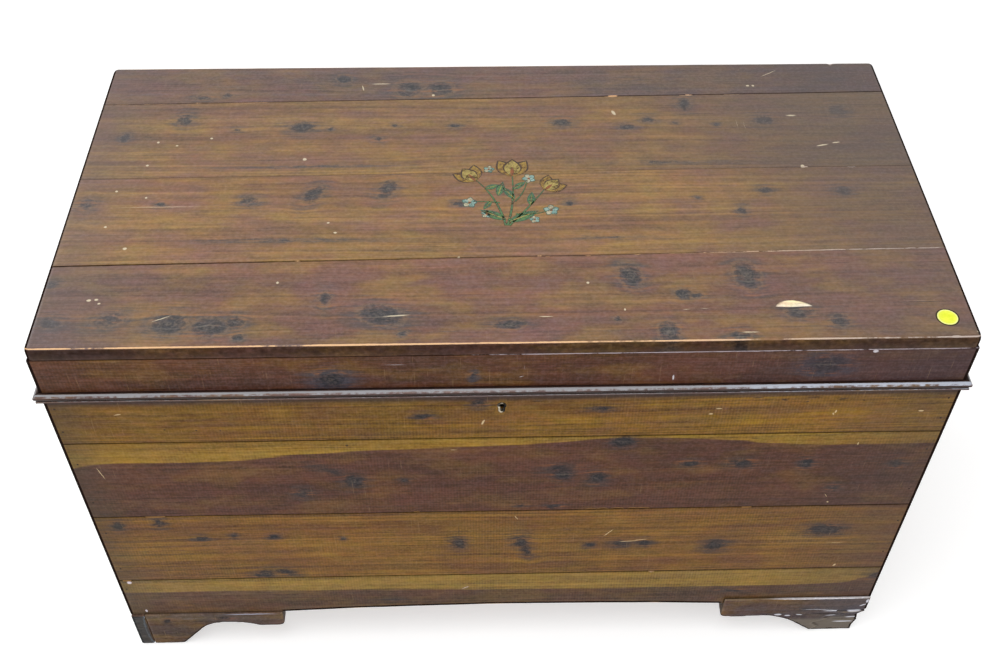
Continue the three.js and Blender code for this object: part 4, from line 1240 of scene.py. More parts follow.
LID_PALE = [
    [
        (196, 48, 7, 0.6, 1, 0.5), (216, 49, 9, 0.6, -2, 0.6), (260, 13, 10, 0.7, 0, 0.1),
        (43, 40, 8, 0.6, 0, 0.1), (-453, 73, 2.3, 1.6), (-445, 74, 2.3, 1.6, 0, 0.1),
        (-441, 68, 1.6, 1.2), (-251, 97, 1.6, 1.6), (92, 91, 1.6, 1.6), (129, 49, 1.2, 1.6),
        (-118, 44, 18, 1.2, 4, 0.3), (-370, 44, 14, 0.8, 25, 0.3), (455, 57, 55, 0.5, 1, 0.85),
        (506, 10, 3, 1.6, 10),
    ],
    [
        (-429, 155, 2.3, 2), (-458, 192, 1.5, 1.5), (-457, 255, 1.6, 1.6), (-420, 243, 1.5, 1.5),
        (-193, 178, 2, 1.5), (-202, 195, 1.5, 1.5), (-51, 133, 1.6, 2.4), (-400, 226, 70, 0.5, 0, 0.4),
    ],
    [
        (-423, 348, 1.6, 1.6), (-399, 341, 1.6, 1.2), (-358, 355, 1.6, 1.6), (-429, 303, 1.6, 1.6),
        (-239, 312, 2.4, 2.4), (-284, 267, 3.4, 2.6, 30), (148, 400, 2.5, 6, 20, 0.2),
        (303, 375, 0.6, 24, 1, 0.75), (312, 372, 0.6, 26, 3, 0.8), (403, 330, 9, 1.4, 12, 0.2),
        (421, 335, 6, 1.2, 10, 0.2), (375, 391, 12, 3, 0, 0.55), (370, 289, 2.4, 3), (428, 283, 4, 1.6),
        (437, 272, 6, 1.6, 8),
    ],
    [
        (-152, 467, 13, 0.9, 0, 0.1), (-175, 458, 1, 8, 12, 0.3), (362, 483, 15, 0.6, 32, 0.2),
        (-83, 441, 2, 2), (330, 456, 2, 1.6), (337, 456, 1.6, 1.6),
    ],
]
LID_DARK = [
    [(455, 55, 55, 0.6, 1, 0.2), (-60, 20, 30, 0.5, 2, 0.3), (309, 47, 16, 1.2, 4, 0.2)],
    [(60, 180, 60, 0.4, 1, 0.4)],
    [(-330, 330, 50, 0.5, 0, 0.4), (240, 409, 3, 8, 0, 0.2)],
    [(180, 470, 60, 0.5, 1, 0.4)],
]
LID_TONES = [("785234", "593e2f"), ("896835", "75532e"), ("836435", "6c4f30"), ("604b41", "503f3b")]
# Darker, greyer ends: axis, from where to where, how much, and the colour they go to
LID_VEILS = [
    [(X, 0.2, 0.5, 0.3, "574a48"), (X, -0.33, -0.5, 0.5, "443c3c")],
    [(X, 0.15, 0.48, 0.62, "4a3e39"), (X, -0.42, -0.5, 0.3, "54494a")],
    [(X, 0.1, 0.46, 0.7, "473d39"), (X, -0.4, -0.5, 0.35, "504648")],
    [(X, 0.05, 0.44, 0.55, "3a3232"), (X, -0.4, -0.5, 0.3, "4c4244")],
]
# Chips along each board's edges: which arris, place, half length and depth
LID_CHIPS = [
    [
        (1, -120, 5, 0.5), (1, 50, 5, 0.6), (1, 95, 6, 0.6), (1, 152, 4, 0.5), (0, 70, 2, 0.8),
        (0, 480, 4, 0.8),
    ],
    [(0, -230, 7, 0.5), (0, 40, 5, 0.5), (1, 370, 4, 0.8), (1, 430, 6, 0.8), (1, -150, 5, 0.4)],
    [(0, 372, 5, 0.8), (1, 148, 10, 1.1), (1, 247, 10, 1.1), (1, 305, 18, 0.9), (1, -320, 24, 0.5)],
    [(0, -385, 9, 0.5), (0, 150, 8, 0.8), (0, 250, 10, 0.7), (1, 449, 4, 3.5)],
]


def lid_rows(rows):
    """Marks on the lid, whose rows count from its front face, at their places in the frame."""
    return [(x, y + FRONT, *others) for x, y, *others in rows]


def slanted(left, right):
    """An edge that runs straight from its place at the left end to that at the right end."""
    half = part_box("lid_rail_front")[1][X]
    return lambda places: left + (right - left) * (places + half) / (2 * half)


for index in range(4):
    node = f"lid_board_{index + 1}"
    low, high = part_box(node)
    marks = {"knots": LID_KNOTS[index], "pale": LID_PALE[index], "dark": LID_DARK[index]}
    finish = cedar(
        f"lid_cedar_{index + 1}", X, Y, *LID_TONES[index], tint=LID_TINTS[index], veils=LID_VEILS[index],
        **LID_LOOK, **{kind: lid_rows(rows) for kind, rows in marks.items()},
    )
    edges = {}
    dirt = [1, 1, 1, 1]
    radii = [LID_EASED] * 4
    ends = [LID_EASED, LID_EASED, LID_EASED, LID_ROUND]
    if index > 0:
        gap, dirt[0] = LID_SEAMS[index - 1]
        edges["low"] = slanted(low[Y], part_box(f"lid_board_{index}")[1][Y] + gap)
    else:
        radii[0], ends[0] = LID_ROUND, LID_CORNER
    if index < 3:
        gap, dirt[1] = LID_SEAMS[index]
        edges["high"] = slanted(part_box(f"lid_board_{index + 2}")[0][Y] - gap, high[Y])
    else:
        radii[1], ends[1] = LID_ROUND, LID_CORNER
    board = plank(
        node, X, Y, finish, 81 + index * 1.7, **edges, chips=LID_CHIPS[index],
        radii=radii, ends=ends, dirty=dirt, polished=LID_RUBBED[index],
    )
    stands_for(board, node, "lid")

# Where a sliver has flaked off the top: its ends, how far its upper edge bows, its step
FLAKE_ENDS = (294.5, 333)
FLAKE_MIDDLE = 50.5
FLAKE_BOW = 9
FLAKE_BELLY = 0.8
FLAKE_STEP = 0.04 * MM
# Its rings from the rim inward: their size, their height in steps and the dirt on them
FLAKE_RINGS = [(1.06, 0.5, 1), (0.98, 1.5, 0.4), (0.85, 1.5, 0)]


def skin(points, faces, rings):
    """Adds rings of points, the faces from each ring to the next, and a cap on the last."""
    count = len(rings[0])
    for ring in rings[:-1]:
        first = len(points)
        points += ring
        for point in range(count):
            after = (point + 1) % count
            faces.append((first + point, first + after, first + count + after, first + count + point))
    points += rings[-1]
    faces.append(tuple(range(len(points) - count, len(points))))


def bare_flake():
    """The pale half moon of fresh wood near the lid's front right corner."""
    shares = np.linspace(0, 1, 19)
    swell = np.sin(math.pi * shares ** 0.85)
    along = FLAKE_ENDS[0] + (FLAKE_ENDS[1] - FLAKE_ENDS[0]) * shares
    upper = FLAKE_MIDDLE + FLAKE_BOW * swell ** 0.8 + 0.5 * wobble(along, 5, 3)
    lower = FLAKE_MIDDLE - FLAKE_BELLY * swell
    outline = np.array([*zip(along, upper), *zip(along[-2:0:-1], lower[-2:0:-1])])
    middle = np.mean(outline, axis=0)
    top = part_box("lid_board_1")[1][Z]
    rings = []
    for size, level, _ in FLAKE_RINGS:
        height = top + FLAKE_STEP * level
        rings.append([(x * MM, (y + FRONT) * MM, height) for x, y in middle + (outline - middle) * size])
    points = []
    faces = []
    skin(points, faces, rings)
    marks = {
        "edge": np.repeat([dirt for _, _, dirt in FLAKE_RINGS], len(outline)),
        "wear": np.zeros(len(points)),
        "board": np.full(len(points), 3),
    }
    fresh = cedar(
        "fresh_cedar", X, Y, "f3ead6", "dfcaa0",
        tint=0, haze=0, figure=0.5, ruddy=0.1, blush="d9b57e", hair=0, gloss=0.3,
    )
    flake = new_piece("lid_flake", points, faces, fresh, marks)
    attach(flake, "lid")


bare_flake()

# Lid rails
# Narrow cedar boards on edge under the lid top, the front and back ones running right across.
# The front rail holds the strike plate, and the back rail is notched for the hinge leaves.
RAIL_TONES = ("4c2f17", "3c2214")
# The front rail's rubbed colour is a pale bluish grey for the line along its top front arris: worn wood
# with a painted highlight on it.
front_rail_cedar = cedar(
    "front_rail_cedar", X, Z, *RAIL_TONES,
    knots=[(-190, 557, 15, 12, 0, 0.2), (347, 570, 20, 14, 0, 0.15), (-36, 560, 4, 8, 0, 0.5)],
    pale=[
        (19, 573, 0.4, 13, 2, 0.85), (16, 558, 4, 0.5, 20, 0.4), (182, 553, 1, 4),
        (396, 591.4, 2.8, 2.4), (-120, 580, 20, 0.4, 0, 0.5),
    ],
    veils=[(X, 0.1, 0.5, 0.5, "382d33")],
    speck="c4bfc4", rubbed="a79ca2", halo="33343d", planer=1, raw=Y, tint=0.28, haze=0.1,
)
end_rail_cedar = cedar(
    "end_rail_cedar", Y, Z, *RAIL_TONES,
    knots=scattered(21, 5, (-220, 220), (540, 590)), raw=X, planer=0.8,
)
RAIL_CHIPS = [
    (1, 120, 9, 0.9), (1, 185, 7, 1), (1, 210, 10, 0.8), (1, 396, 6, 1.8), (1, 60, 30, 0.6),
    (1, 330, 40, 0.6),
]


def strike_seat():
    """A cutter for the seat of the strike plate."""
    low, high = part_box("lock_strike")
    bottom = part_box("lid_rail_front")[0][Z] - OVERRUN
    return block((low[X] - FIT, low[Y] - FIT, bottom), (high[X] + FIT, high[Y] + OVERRUN, high[Z] + FIT))


RAILS = [
    ("front", X, front_rail_cedar),
    ("back", X, back_cedar),
    ("left", Y, end_rail_cedar),
    ("right", Y, end_rail_cedar),
]
for index, (side, along, finish) in enumerate(RAILS):
    node = "lid_rail_" + side
    # The front rail's top front arris grows paler from a little left of its middle to its right end: wear
    # with a painted highlight on it.
    worn = {"chips": RAIL_CHIPS, "polished": [(2, -110, 60)]} if side == "front" else {}
    rail = plank(node, along, Z, finish, 91 + index * 1.3, **worn)
    if side == "front":
        cut(rail, [strike_seat()])
    if side == "back":
        cut(rail, leaf_notches("lid", False))
    stands_for(rail, node, "lid")

# Bead moulding
# A planed half round over a small fillet, mitred at the front corners and nailed round the
# lid's lower edge. Its round carries a painted highlight, grey-blue like a reflection of the sky,
# with painted shade above and below it and a thin painted highlight along its fillet; dirt
# sits in its quirk.
BEAD_FIT = 0.5 * MM
BEAD_FILLET = 2.6 * MM
BEAD_FILLET_OUT = 5.2 * MM
BEAD_QUIRK = 0.9 * MM
BEAD_EASED = 0.4 * MM
BEAD_STATION = 5 * MM
# Where its round begins in degrees, in how many steps it is drawn, from where its painted
# highlight begins, and between which turns that highlight is brightest
BEAD_TURN = -58
BEAD_STEPS = 13
BEAD_HIGHLIGHT_START = 4
BEAD_HIGHLIGHT = (47, 74)
# How deep its dents are and how uneven its painted highlight, each with how far apart they lie
BEAD_DENTS = (0.14 * MM, 20 * MM)
BEAD_PATCHES = (0.12, 40 * MM)


def bead_section():
    """Half round and fillet, as outward distance and height, with a wear mark that paints highlights and
    an edge mark that is dirt in the quirk and painted shade under the bead and round the highlight.
    """
    low, high = (corner[Z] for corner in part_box("bead_front"))
    out = -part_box("bead_front")[0][Y] + FRONT * MM
    top = low + BEAD_FILLET
    eased = BEAD_FILLET_OUT - BEAD_EASED
    quirk = BEAD_FILLET_OUT - BEAD_QUIRK
    round_low = top + BEAD_QUIRK
    half = (high - round_low) / 2
    # Under the bead and on the fillet's lower edge the edge mark paints shade; along the fillet's top the
    # wear mark paints a thin highlight; in the quirk the edge mark is dirt.
    section = [
        (BEAD_FIT, low, 0, 1), (eased, low, 0, 0.9), (BEAD_FILLET_OUT, low + BEAD_EASED, 0, 0.8),
        (BEAD_FILLET_OUT, top - BEAD_EASED, 0.5, 0.1), (eased, top, 0.7, 0.2),
        (quirk, top, 0, 1), (quirk, round_low, 0, 1),
    ]
    # On the round the wear mark paints the highlight, brightest between the highlight's turns, and the
    # edge mark paints shade outside it.
    for turn in np.linspace(math.radians(BEAD_TURN), math.pi / 2, BEAD_STEPS):
        degrees = math.degrees(turn)
        lit = 0
        if BEAD_HIGHLIGHT_START < degrees < BEAD_HIGHLIGHT[1]:
            lit = 0.95 if degrees > BEAD_HIGHLIGHT[0] else 0.62
        height = round_low + half + half * math.sin(turn)
        section.append((out - half + half * math.cos(turn), height, lit, 0.1 if lit else 0.9))
    section.append((BEAD_FIT, high, 0, 1))
    return section


def bead(node, along, sign, mitres, material, seed):
    """A length of bead along X or Y, standing out to one side, mitred where mitres says."""
    section = bead_section()
    low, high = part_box(node)
    other = Y if along == X else X
    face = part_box("lid_rail_front")[1][X] if other == X else -FRONT * MM
    reach = max(row[0] for row in section)
    start = low[along] + reach * mitres[0]
    stop = high[along] - reach * mitres[1]
    places = np.linspace(start, stop, round((stop - start) / BEAD_STATION))
    points = np.zeros((len(places), len(section), 3))
    marks = {name: np.zeros(points.shape[:2]) for name in ("wear", "edge")}
    for index, (out, height, wear, edge) in enumerate(section):
        depth, pitch = BEAD_DENTS
        rubbed = depth * np.clip(wobble(places, pitch, seed + index * 0.05), 0, 1) * (wear > 0)
        points[:, index, along] = places
        points[0, index, along] -= out * mitres[0]
        points[-1, index, along] += out * mitres[1]
        points[:, index, other] = sign * (face + out - rubbed)
        points[:, index, Z] = height
        share, pitch = BEAD_PATCHES
        marks["wear"][:, index] = wear + share * wobble(places, pitch, seed + 9)
        marks["edge"][:, index] = edge
    marks["board"] = np.full(points.shape[:2], seed)
    faces = tube_faces(len(places), len(section))
    return new_piece(node + "_run", points.reshape(-1, 3), faces, material, marks)


# On the bead the rubbed colour is a painted highlight, grey-blue like a reflection of the sky, and the
# strong edge darkening is partly dirt and partly painted shade.
BEAD_LOOK = {
    "gloss": 0.5, "rough": 0.26, "figure": 0.7, "hair": 0.15, "grime_and_shade": 0.4, "worn": 0.85,
    "rubbed": "85868a",
}
# Toward the right the front bead's painted highlight goes paler and bluer: a painted reflection.
bead_cedar = cedar("bead_cedar", X, Z, "4f342c", "3f2a26", bleached=(X, 0.16, 0.34, "a6adba"), **BEAD_LOOK)
end_bead_cedar = cedar("end_bead_cedar", Y, Z, "5a3a2c", "472c22", **BEAD_LOOK)
for node, along, sign, mitres, finish, seed in (
    ("bead_front", X, -1, (True, True), bead_cedar, 7.1),
    ("bead_left", Y, -1, (True, False), end_bead_cedar, 7.9),
    ("bead_right", Y, 1, (True, False), end_bead_cedar, 8.3),
):
    stands_for(bead(node, along, sign, mitres, finish, seed), node, "lid")

# Hinges
# Two pressed steel butt hinges, let into the back wall and the back rail, each leaf held by
# three countersunk screws. Their plating has dulled, with brown spots of rust.

# How many marks each part of a metal finish has to the metre
METAL_CLOUD = (70, 70, 70)
METAL_FINE = (620, 620, 620)
METAL_SCRATCH = (60, 1500, 1500)
# How far the bumps of metal, print and paper stand up
FINE_RELIEF = 0.1 * MM


def worn_metal(name, bright, dull, stain, rough=0.36, stained=0.7, shaded_across=None):
    """Old sheet metal: two tones in patches, stains, fine scratches.

    Its last argument, where given, is an axis and the two places between which the metal goes to its stain
    colour: painted shade on one side, the other side left light as a painted highlight."""
    material, tree, surface = new_finish(name)
    place = shader(tree, "TexCoord").outputs["Object"]
    cloud = clouds(tree, place, METAL_CLOUD, 4, 0.62)
    fine = clouds(tree, place, METAL_FINE, 3, 0.6)
    drawn = clouds(tree, place, METAL_SCRATCH)
    tone = mixed(tree, ranged(tree, cloud, 0.38, 0.62), bright, dull)
    spots = ranged(tree, plus(tree, fine, 0.5, cloud), 0.7, 0.86, 0, stained)
    tone = mixed(tree, spots, tone, stain)
    if shaded_across:
        axis, start, stop = shaded_across
        across = shader(tree, "SeparateXYZ", {0: place}).outputs[axis]
        tone = mixed(tree, ranged(tree, across, start, stop), tone, stain)
    color = dimmed(tree, tone, plus(tree, fine, 0.6, 0.7))
    bumps = plus(tree, drawn, 0.4, plus(tree, spots, -0.5, fine))
    relief = raised(tree, 0.35, FINE_RELIEF, bumps)
    dullness = plus(tree, drawn, 0.14, plus(tree, spots, 0.35, rough))
    metallic = plus(tree, spots, -0.85, 1)
    made = {"Base Color": color, "Metallic": metallic, "Roughness": dullness, "Normal": relief}
    plug(tree, surface, made)
    return material


EASED = 0.25 * MM
THIN_EASED = 0.12 * MM
EASED_ANGLE = math.radians(40)


def finished(node, material, eased=EASED):
    """The CAD piece itself, with its edges eased and its finish put on."""
    piece = nodes[node]
    ease = piece.modifiers.new("eased", "BEVEL")
    ease.width = eased
    ease.segments = 2
    ease.limit_method = "ANGLE"
    ease.angle_limit = EASED_ANGLE
    for place in piece.material_slots:
        place.material = material


HEAD_RISE = 0.16 * MM
HEAD_SLOT = 0.35 * MM
HEAD_POINTS = 10
# How wide a head's top is beside its rim
HEAD_TOP = 0.86


def screw_heads(name, heads, radius, material, body):
    """Slotted heads just proud of a face. Each is its middle, axis, way out and slot's turn."""
    points = []
    faces = []

    def arc(start, stop, count):
        return [(radius * math.cos(t), radius * math.sin(t)) for t in np.linspace(start, stop, count)]

    disc = arc(0, math.tau, 2 * HEAD_POINTS + 1)[:-1]
    lean = math.asin(HEAD_SLOT / radius)
    levels = [[(disc, 0), (disc, HEAD_RISE * 0.3)]]
    for half in (0, math.pi):
        wide = arc(half + lean, half + math.pi - lean, HEAD_POINTS)
        lips = [math.copysign(HEAD_SLOT, b) for _, b in wide]
        small = [(HEAD_TOP * a, (b - lip) * HEAD_TOP + lip) for (a, b), lip in zip(wide, lips)]
        levels.append([(wide, 0), (wide, HEAD_RISE * 0.7), (small, HEAD_RISE)])
    for middle, axis, way, turn in heads:
        others = [number for number in (X, Y, Z) if number != axis]
        for outlines in levels:
            rings = []
            for outline, height in outlines:
                ring = np.tile(middle, (len(outline), 1))
                a, b = np.array(outline).T
                ring[:, axis] += way * height
                ring[:, others[0]] += a * math.cos(turn) - b * math.sin(turn)
                ring[:, others[1]] += a * math.sin(turn) + b * math.cos(turn)
                rings.append(ring.tolist())
            skin(points, faces, rings)
    piece = new_piece(name, points, faces, material)
    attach(piece, body)


hinge_metal = worn_metal("dull_steel", "8d8a84", "6a655d", "4a3021")
screw_metal = worn_metal("screw_steel", "7b776f", "544e46", "3c281d", 0.42)
HINGE_SCREW = 3.4 * MM
HINGE_SCREW_PITCH = 25 * MM
# How far the outer screws stand back from the middle one
HINGE_SCREW_STEP = 2 * MM
for side in ("left", "right"):
    for part in ("hinge_case_leaf_", "hinge_lid_leaf_", "hinge_pin_"):
        finished(part + side, hinge_metal)
for kind, body, way in (("case", "chest_case", 1), ("lid", "lid", -1)):
    heads = []
    for side in ("left", "right"):
        low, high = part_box(f"hinge_{kind}_leaf_{side}")
        pin_low, pin_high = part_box("hinge_pin_" + side)
        middle = (pin_low + pin_high) / 2
        wood_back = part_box("back_board_1")[1][Y]
        for number in (-1, 0, 1):
            place = (
                middle[X] + number * HINGE_SCREW_PITCH,
                (low[Y] + wood_back) / 2 + abs(number) * HINGE_SCREW_STEP,
                middle[Z] - way * LEAF_GAP,
            )
            heads.append((place, Z, way, 0.7 * number + middle[X] * 3))
    screw_heads(f"hinge_{kind}_screws", heads, HINGE_SCREW, screw_metal, body)

# Chest lock
# A brass box lock let into the front wall behind the keyhole: plate and selvedge, case, bolt
# and spring, with a strike plate above it in the lid. Handled brass, tarnished brown.
lock_metal = worn_metal("tarnished_brass", "a5803c", "74572b", "3f2d1a", 0.32)
bolt_metal = worn_metal("rubbed_brass", "b08c48", "8a6a36", "4b361f", 0.28, 0.5)
case_metal = worn_metal("japanned_steel", "2c2825", "1d1a18", "3a281c", 0.5)
for node in ("lock_plate", "lock_strike"):
    finished(node, lock_metal)
finished("lock_case", case_metal)
for node in ("lock_bolt", "lock_bolt_spring"):
    finished(node, bolt_metal, THIN_EASED)
LOCK_SCREW = 2.5 * MM
# Half the distance between its screws, their heights from the selvedge, and half the
# distance between the strike's
LOCK_SCREW_OUT = 31
LOCK_SCREW_DROPS = (-9, -34)
STRIKE_SCREW_OUT = 19.5
plate_low, plate_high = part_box("lock_plate")
plate_middle = (plate_low + plate_high) / 2
lock_heads = []
for z in LOCK_SCREW_DROPS:
    for x in (-LOCK_SCREW_OUT, LOCK_SCREW_OUT):
        place = (plate_middle[X] + x * MM, plate_high[Y], plate_high[Z] + z * MM)
        lock_heads.append((place, Y, 1, 0.4 + len(lock_heads)))
for x in (-LOCK_SCREW_OUT, LOCK_SCREW_OUT):
    lock_heads.append(((plate_middle[X] + x * MM, plate_middle[Y], plate_high[Z]), Z, 1, x * 0.05))
screw_heads("lock_screws", lock_heads, LOCK_SCREW, lock_metal, "chest_case")
strike_low, strike_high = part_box("lock_strike")
strike_middle = (strike_low + strike_high) / 2
strike_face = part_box("lid_rail_front")[0][Z]
strike_heads = []
for x in (-STRIKE_SCREW_OUT, STRIKE_SCREW_OUT):
    place = (strike_middle[X] + x * MM, strike_middle[Y], strike_face)
    strike_heads.append((place, Z, -1, 0.5 + x * 0.03))
screw_heads("strike_screws", strike_heads, LOCK_SCREW, lock_metal, "lid")

# Keyhole rim
# A thin brass thread pressed into the front board round the keyhole. It has gone dark,
# and its colour runs from a painted highlight on its left side to painted shade, nearly
# black, on its right.
rim_metal = worn_metal("black_brass", "b5ab98", "6a5d4c", "17120e", 0.45, 0.9, (X, -5.5 * MM, -2.5 * MM))
finished("keyhole_escutcheon", rim_metal, THIN_EASED)

# Lid stay
# A slotted steel arm that slides on two studded plates, one screwed to the lid's end rail
# and one to the right-hand end wall. Plain steel, dulled in patches and spotted with rust.
stay_metal = worn_metal("stay_steel", "86837d", "5d5850", "452e20", 0.34, 0.6)
for node in ("stay_lid_plate", "stay_case_plate", "stay_arm"):
    finished(node, stay_metal)
STAY_SCREW = 2.6 * MM
STAY_SCREW_PITCH = 14 * MM
STAY_SHEET = 2 * MM
for node, body in (("stay_lid_plate", "lid"), ("stay_case_plate", "chest_case")):
    low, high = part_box(node)
    middle = (low + high) / 2
    heads = []
    for number in (-1, 1):
        place = (high[X] - STAY_SHEET, middle[Y] + number * STAY_SCREW_PITCH, middle[Z])
        heads.append((place, X, -1, 0.8 * number))
    screw_heads(node + "_screws", heads, STAY_SCREW, screw_metal, body)

# Nails
# Round wire nails through the front and back boards into the end walls, two to a board, set
# just under the surface. Their heads have rusted dark.
nail_metal = worn_metal("nail_rust", "3c3531", "2a211c", "301e15", 0.6, 0.8)
# How far out along X the nails stand, where they stand across each board, and how far they
# stray from that
NAIL_PLACE = 498.5
NAIL_SHARES = (0.24, 0.76)
NAIL_STRAY = (2.5, 0.05)
NAIL_RADIUS = 1.3 * MM
NAIL_POINTS = 12
# A dished head from its rim inward: shares of its radius, and how far out they stand
NAIL_RINGS = [(1, 0), (0.92, 0.09 * MM), (0.5, 0.05 * MM)]


def nail_heads(name, heads, material):
    """Dished heads almost level with the boards: middle and way out along Y, in metres."""
    points = []
    faces = []
    turns = np.linspace(0, math.tau, NAIL_POINTS, endpoint=False)
    circle = [(NAIL_RADIUS * math.cos(turn), NAIL_RADIUS * math.sin(turn)) for turn in turns]
    for (x, y, z), way in heads:
        skin(points, faces, [
            [(x + share * a, y + way * out, z + share * b) for a, b in circle]
            for share, out in NAIL_RINGS
        ])
    piece = new_piece(name, points, faces, material)
    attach(piece, "chest_case")


for kind, way in (("front", -1), ("back", 1)):
    chance = random.Random(19)
    heads = []
    for index in range(4):
        low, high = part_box(f"{kind}_board_{index + 1}")
        face = low[Y] if way < 0 else high[Y]
        for side in (-1, 1):
            for share in NAIL_SHARES:
                x = side * (NAIL_PLACE + chance.uniform(-NAIL_STRAY[0], NAIL_STRAY[0])) * MM
                z = low[Z] + (high[Z] - low[Z]) * (share + chance.uniform(-NAIL_STRAY[1], NAIL_STRAY[1]))
                if index < 3 or share > 0.5:
                    heads.append(((x, face, z), way))
    nail_heads(kind + "_nails", heads, nail_metal)

# Decal
# A printed transfer slid on to the lid long ago and varnished over: a spray of tulips and
# small blossoms. Its film is crazed, and flakes of the print have gone.
DECAL_MIDDLE = (10, 247)
DECAL_LIFT = 0.1 * MM
DECAL_LAYER = 0.06 * MM
DECAL_INKS = {
    # two shades of each ink
    "umber": ("3a2a22", "54402f"),
    "ochre": ("9c7f3c", "836536"),
    "straw": ("ab9856", "8f7d47"),
    "rust": ("8c5331", "74482e"),
    "leaf": ("52784a", "41644c"),
    "teal": ("35554b", "44695f"),
    "aqua": ("93aca2", "6f9790"),
    "cream": ("b9b298", "a39b80"),
}


# How many marks each part of the print has to the metre
INK_CLOUD = (130, 190, 1)
INK_FINE = (420, 900, 1)
INK_CRACKS = (260, 330, 1)


def ink(name, first, second):
    """Old print: uneven colour, a net of fine cracks, and flakes lost down to the varnish."""
    material, tree, surface = new_finish(name)
    place = shader(tree, "TexCoord").outputs["Object"]
    cloud = clouds(tree, place, INK_CLOUD, 4, 0.65)
    fine = clouds(tree, place, INK_FINE, 3, 0.65)
    tone = mixed(tree, ranged(tree, cloud, 0.4, 0.6), first, second)
    color = dimmed(tree, tone, plus(tree, fine, 0.9, 0.55))
    net = {"Vector": moved(tree, place, INK_CRACKS), "Scale": 1}
    cells = shader(tree, "TexVoronoi", net, feature="DISTANCE_TO_EDGE").outputs["Distance"]
    color = mixed(tree, ranged(tree, cells, 0.07, 0.01, 0, 0.6), color, "4a3526")
    lost = plus(tree, fine, 0.5, cloud)
    plug(tree, surface, {
        "Base Color": color,
        "Alpha": ranged(tree, lost, 0.88, 0.8, 0.15, 0.92),
        "Normal": raised(tree, 0.3, FINE_RELIEF, cells),
        "Roughness": 0.45,
        "Specular IOR Level": 0.35,
    })
    return material


def petal(x, y, length, width, turn, blunt=0.8):
    """An outline that starts at a place and swells along its turn in degrees; lengths in mm."""
    shares = np.linspace(0, 1, 12)
    half = width / 2 * np.sin(math.pi * shares ** blunt)
    lengths = np.concatenate([shares, shares[-2:0:-1]]) * length
    widths = np.concatenate([half, -half[-2:0:-1]])
    angle = math.radians(turn)
    return [
        (x + a * math.cos(angle) - b * math.sin(angle), y + a * math.sin(angle) + b * math.cos(angle))
        for a, b in zip(lengths, widths)
    ]


def stem(start, bend, stop, width):
    """The outline of a bowed stalk that thins toward its tip."""
    shares = np.linspace(0, 1, 14)[:, None]
    start, bend, stop = (np.array(place, float) for place in (start, bend, stop))
    line = (1 - shares) ** 2 * start + 2 * shares * (1 - shares) * bend + shares ** 2 * stop
    ahead = np.gradient(line, axis=0)
    ahead /= np.linalg.norm(ahead, axis=1)[:, None]
    side = np.stack([-ahead[:, 1], ahead[:, 0]], axis=1) * width / 2 * (1.1 - 0.6 * shares)
    return [tuple(place) for place in np.concatenate([line + side, (line - side)[::-1]])]


def leaf(x, y, length, width, turn):
    """A leaf with a dark rim and a pale rib: ink, layer and outline of each."""
    return [
        ("teal", 0, petal(x, y, length + 1.4, width + 1.8, turn, 0.9)),
        ("leaf", 1, petal(x, y, length, width, turn, 0.9)),
        ("straw", 2, petal(x, y, length * 0.9, width * 0.12, turn)),
    ]


def tulip(x, y, size, turn):
    """Two outer petals behind a middle one, each with a dark rim, and a rust vein."""
    shapes = []
    outer, inner = (0.62, 1.06, 0.98, "ochre", 0), (0.7, 0.98, 0.9, "straw", 2)
    for lean, wide, rim, long, tone, layer in ((-30, *outer), (30, *outer), (0, *inner)):
        shapes.append(("umber", layer, petal(x, y, size * rim, size * wide, turn + lean, 1)))
        shapes.append((tone, layer + 1, petal(x, y, size * long, size * (wide - 0.12), turn + lean, 1)))
    shapes.append(("rust", 4, petal(x, y, size * 0.55, size * 0.14, turn)))
    return shapes


BLOSSOM_EYE = [(1, 0), (0.3, 1), (-1, 0.4), (-0.6, -0.9), (0.5, -1)]


def blossom(x, y, size, turn):
    """Five round petals in two tones, with a rust eye."""
    shapes = []
    for number in range(5):
        angle = turn + number * 72
        shapes.append(("teal", 0, petal(x, y, size * 1.12, size * 0.86, angle, 1.3)))
        shapes.append(("cream" if number % 2 else "aqua", 1, petal(x, y, size, size * 0.7, angle, 1.3)))
    shapes.append(("rust", 2, [(x + size * 0.22 * a, y + size * 0.22 * b) for a, b in BLOSSOM_EYE]))
    return shapes


# The spray, in mm about the decal's middle. Stalks are three places and a width; the rest
# are a place, a length or size, for leaves a width too, and a turn in degrees.
STALKS = [
    ((-6, -60), (-14, -10), (-40, 22), 2.2), ((-4, -60), (6, -20), (4, 30), 2.4),
    ((-2, -60), (22, -30), (42, 4), 2.2), ((2, -22), (18, -6), (22, 22), 1.4),
    ((-12, -20), (-30, -16), (-46, -18), 1.4), ((6, -40), (26, -44), (46, -34), 1.4),
]
LEAVES = [
    (-5, -50, 34, 11, 150), (-3, -54, 40, 12, 28), (-14, -8, 26, 9, 76), (6, -14, 26, 8, 122),
    (24, -26, 24, 8, 84), (-30, 6, 18, 7, 20), (4, 4, 20, 7, 42), (-22, -17, 16, 6, 236),
]
TULIPS = [(-40, 20, 30, 124), (4, 28, 34, 88), (42, 2, 28, 48)]
BLOSSOMS = [
    (-48, -19, 9, 10), (24, 24, 8, 40), (48, -34, 9, 20), (-24, 42, 6.5, 5), (28, -50, 6, 30),
    (-28, -40, 6.5, 12),
]
decal_shapes = []
for *line, width in STALKS:
    decal_shapes.append(("umber", 0, stem(*line, width + 1)))
    decal_shapes.append(("leaf", 1, stem(*line, width)))
for draw, rows in ((leaf, LEAVES), (tulip, TULIPS), (blossom, BLOSSOMS)):
    for row in rows:
        decal_shapes += draw(*row)
lid_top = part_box("lid_board_2")[1][Z]
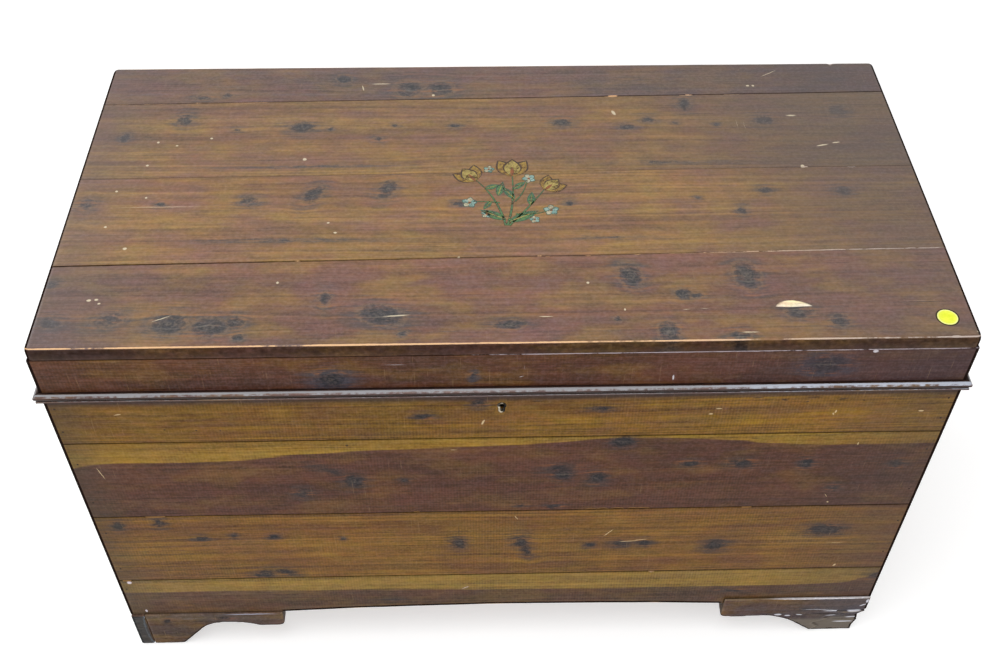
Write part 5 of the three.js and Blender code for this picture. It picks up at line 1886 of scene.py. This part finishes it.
for ink_name, (first, second) in DECAL_INKS.items():
    points = []
    faces = []
    for owner, layer, outline in decal_shapes:
        if owner == ink_name:
            begin = len(points)
            height = lid_top + DECAL_LIFT + layer * DECAL_LAYER
            middle_x, middle_y = DECAL_MIDDLE
            points += [((middle_x + x) * MM, (middle_y + y + FRONT) * MM, height) for x, y in outline]
            faces.append(tuple(range(begin, len(points))))
    print_piece = new_piece("decal_" + ink_name, points, faces, ink("ink_" + ink_name, first, second))
    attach(print_piece, "lid")

# Round label
# A small disc of bright paper stuck near the lid's front right corner, long after the chest
# was made. Its edge is pale, a little wavy, and lifts on one side.
LABEL_PLACE = (477, 31)
LABEL_RADIUS = 11 * MM
LABEL_SHEET = 0.2 * MM
LABEL_CURL = 0.5 * MM
LABEL_POINTS = 56
# Its rings from the dark ring around it inward: shares of its radius, heights in sheets, and
# how pale and how dark each is
LABEL_RINGS = [
    (1.16, 0.1, 0, 1), (1.04, 0.12, 0, 1), (1.0, 0.1, 0.3, 0.3), (1.0, 1, 1, 0), (0.94, 1.15, 0.8, 0),
    (0.84, 1, 0.1, 0), (0.4, 1, 0, 0),
]
PAPER_CLOUD = (170, 170, 1)
PAPER_FIBRE = (2600, 2600, 1)


def paper(name):
    """Bright yellow paper, uneven and fibrous, paler at its rim, with a dark ring around it."""
    material, tree, surface = new_finish(name)
    place = shader(tree, "TexCoord").outputs["Object"]
    cloud = clouds(tree, place, PAPER_CLOUD, 4, 0.6)
    fibre = clouds(tree, place, PAPER_FIBRE, 3, 0.7)
    color = mixed(tree, ranged(tree, cloud, 0.35, 0.65), "eef24a", "dfe83a")
    color = mixed(tree, marked(tree, "wear"), color, "f0efa0")
    color = dimmed(tree, color, plus(tree, fibre, 0.3, 0.82))
    plug(tree, surface, {
        "Base Color": mixed(tree, marked(tree, "edge"), color, "2a2018"),
        "Normal": raised(tree, 0.3, FINE_RELIEF, fibre),
        "Roughness": 0.6,
        "Specular IOR Level": 0.2,
    })
    return material


def round_label():
    """The paper disc, a little wavy and curled up on one side."""
    middle = (LABEL_PLACE[0] * MM, (LABEL_PLACE[1] + FRONT) * MM)
    rings = []
    for share, level, _, _ in LABEL_RINGS:
        ring = []
        for turn in np.linspace(0, math.tau, LABEL_POINTS, endpoint=False):
            ahead = (math.cos(turn), math.sin(turn))
            uneven = 1 + 0.012 * noise.noise(Vector((ahead[0] * 2, ahead[1] * 2, 3)))
            reach = share * LABEL_RADIUS * uneven
            curl = LABEL_CURL * max(0, math.cos(turn - 2.4)) ** 2 * max(0, share - 0.8) * 5
            height = lid_top + LABEL_SHEET * level + (curl if level >= 1 else 0)
            ring.append((middle[0] + reach * ahead[0], middle[1] + reach * ahead[1], height))
        rings.append(ring)
    points = []
    faces = []
    skin(points, faces, rings)
    marks = {
        name: np.repeat([ring[column] for ring in LABEL_RINGS], LABEL_POINTS)
        for name, column in (("wear", 2), ("edge", 3))
    }
    label = new_piece("round_label", points, faces, paper("label_paper"), marks)
    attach(label, "lid")


round_label()
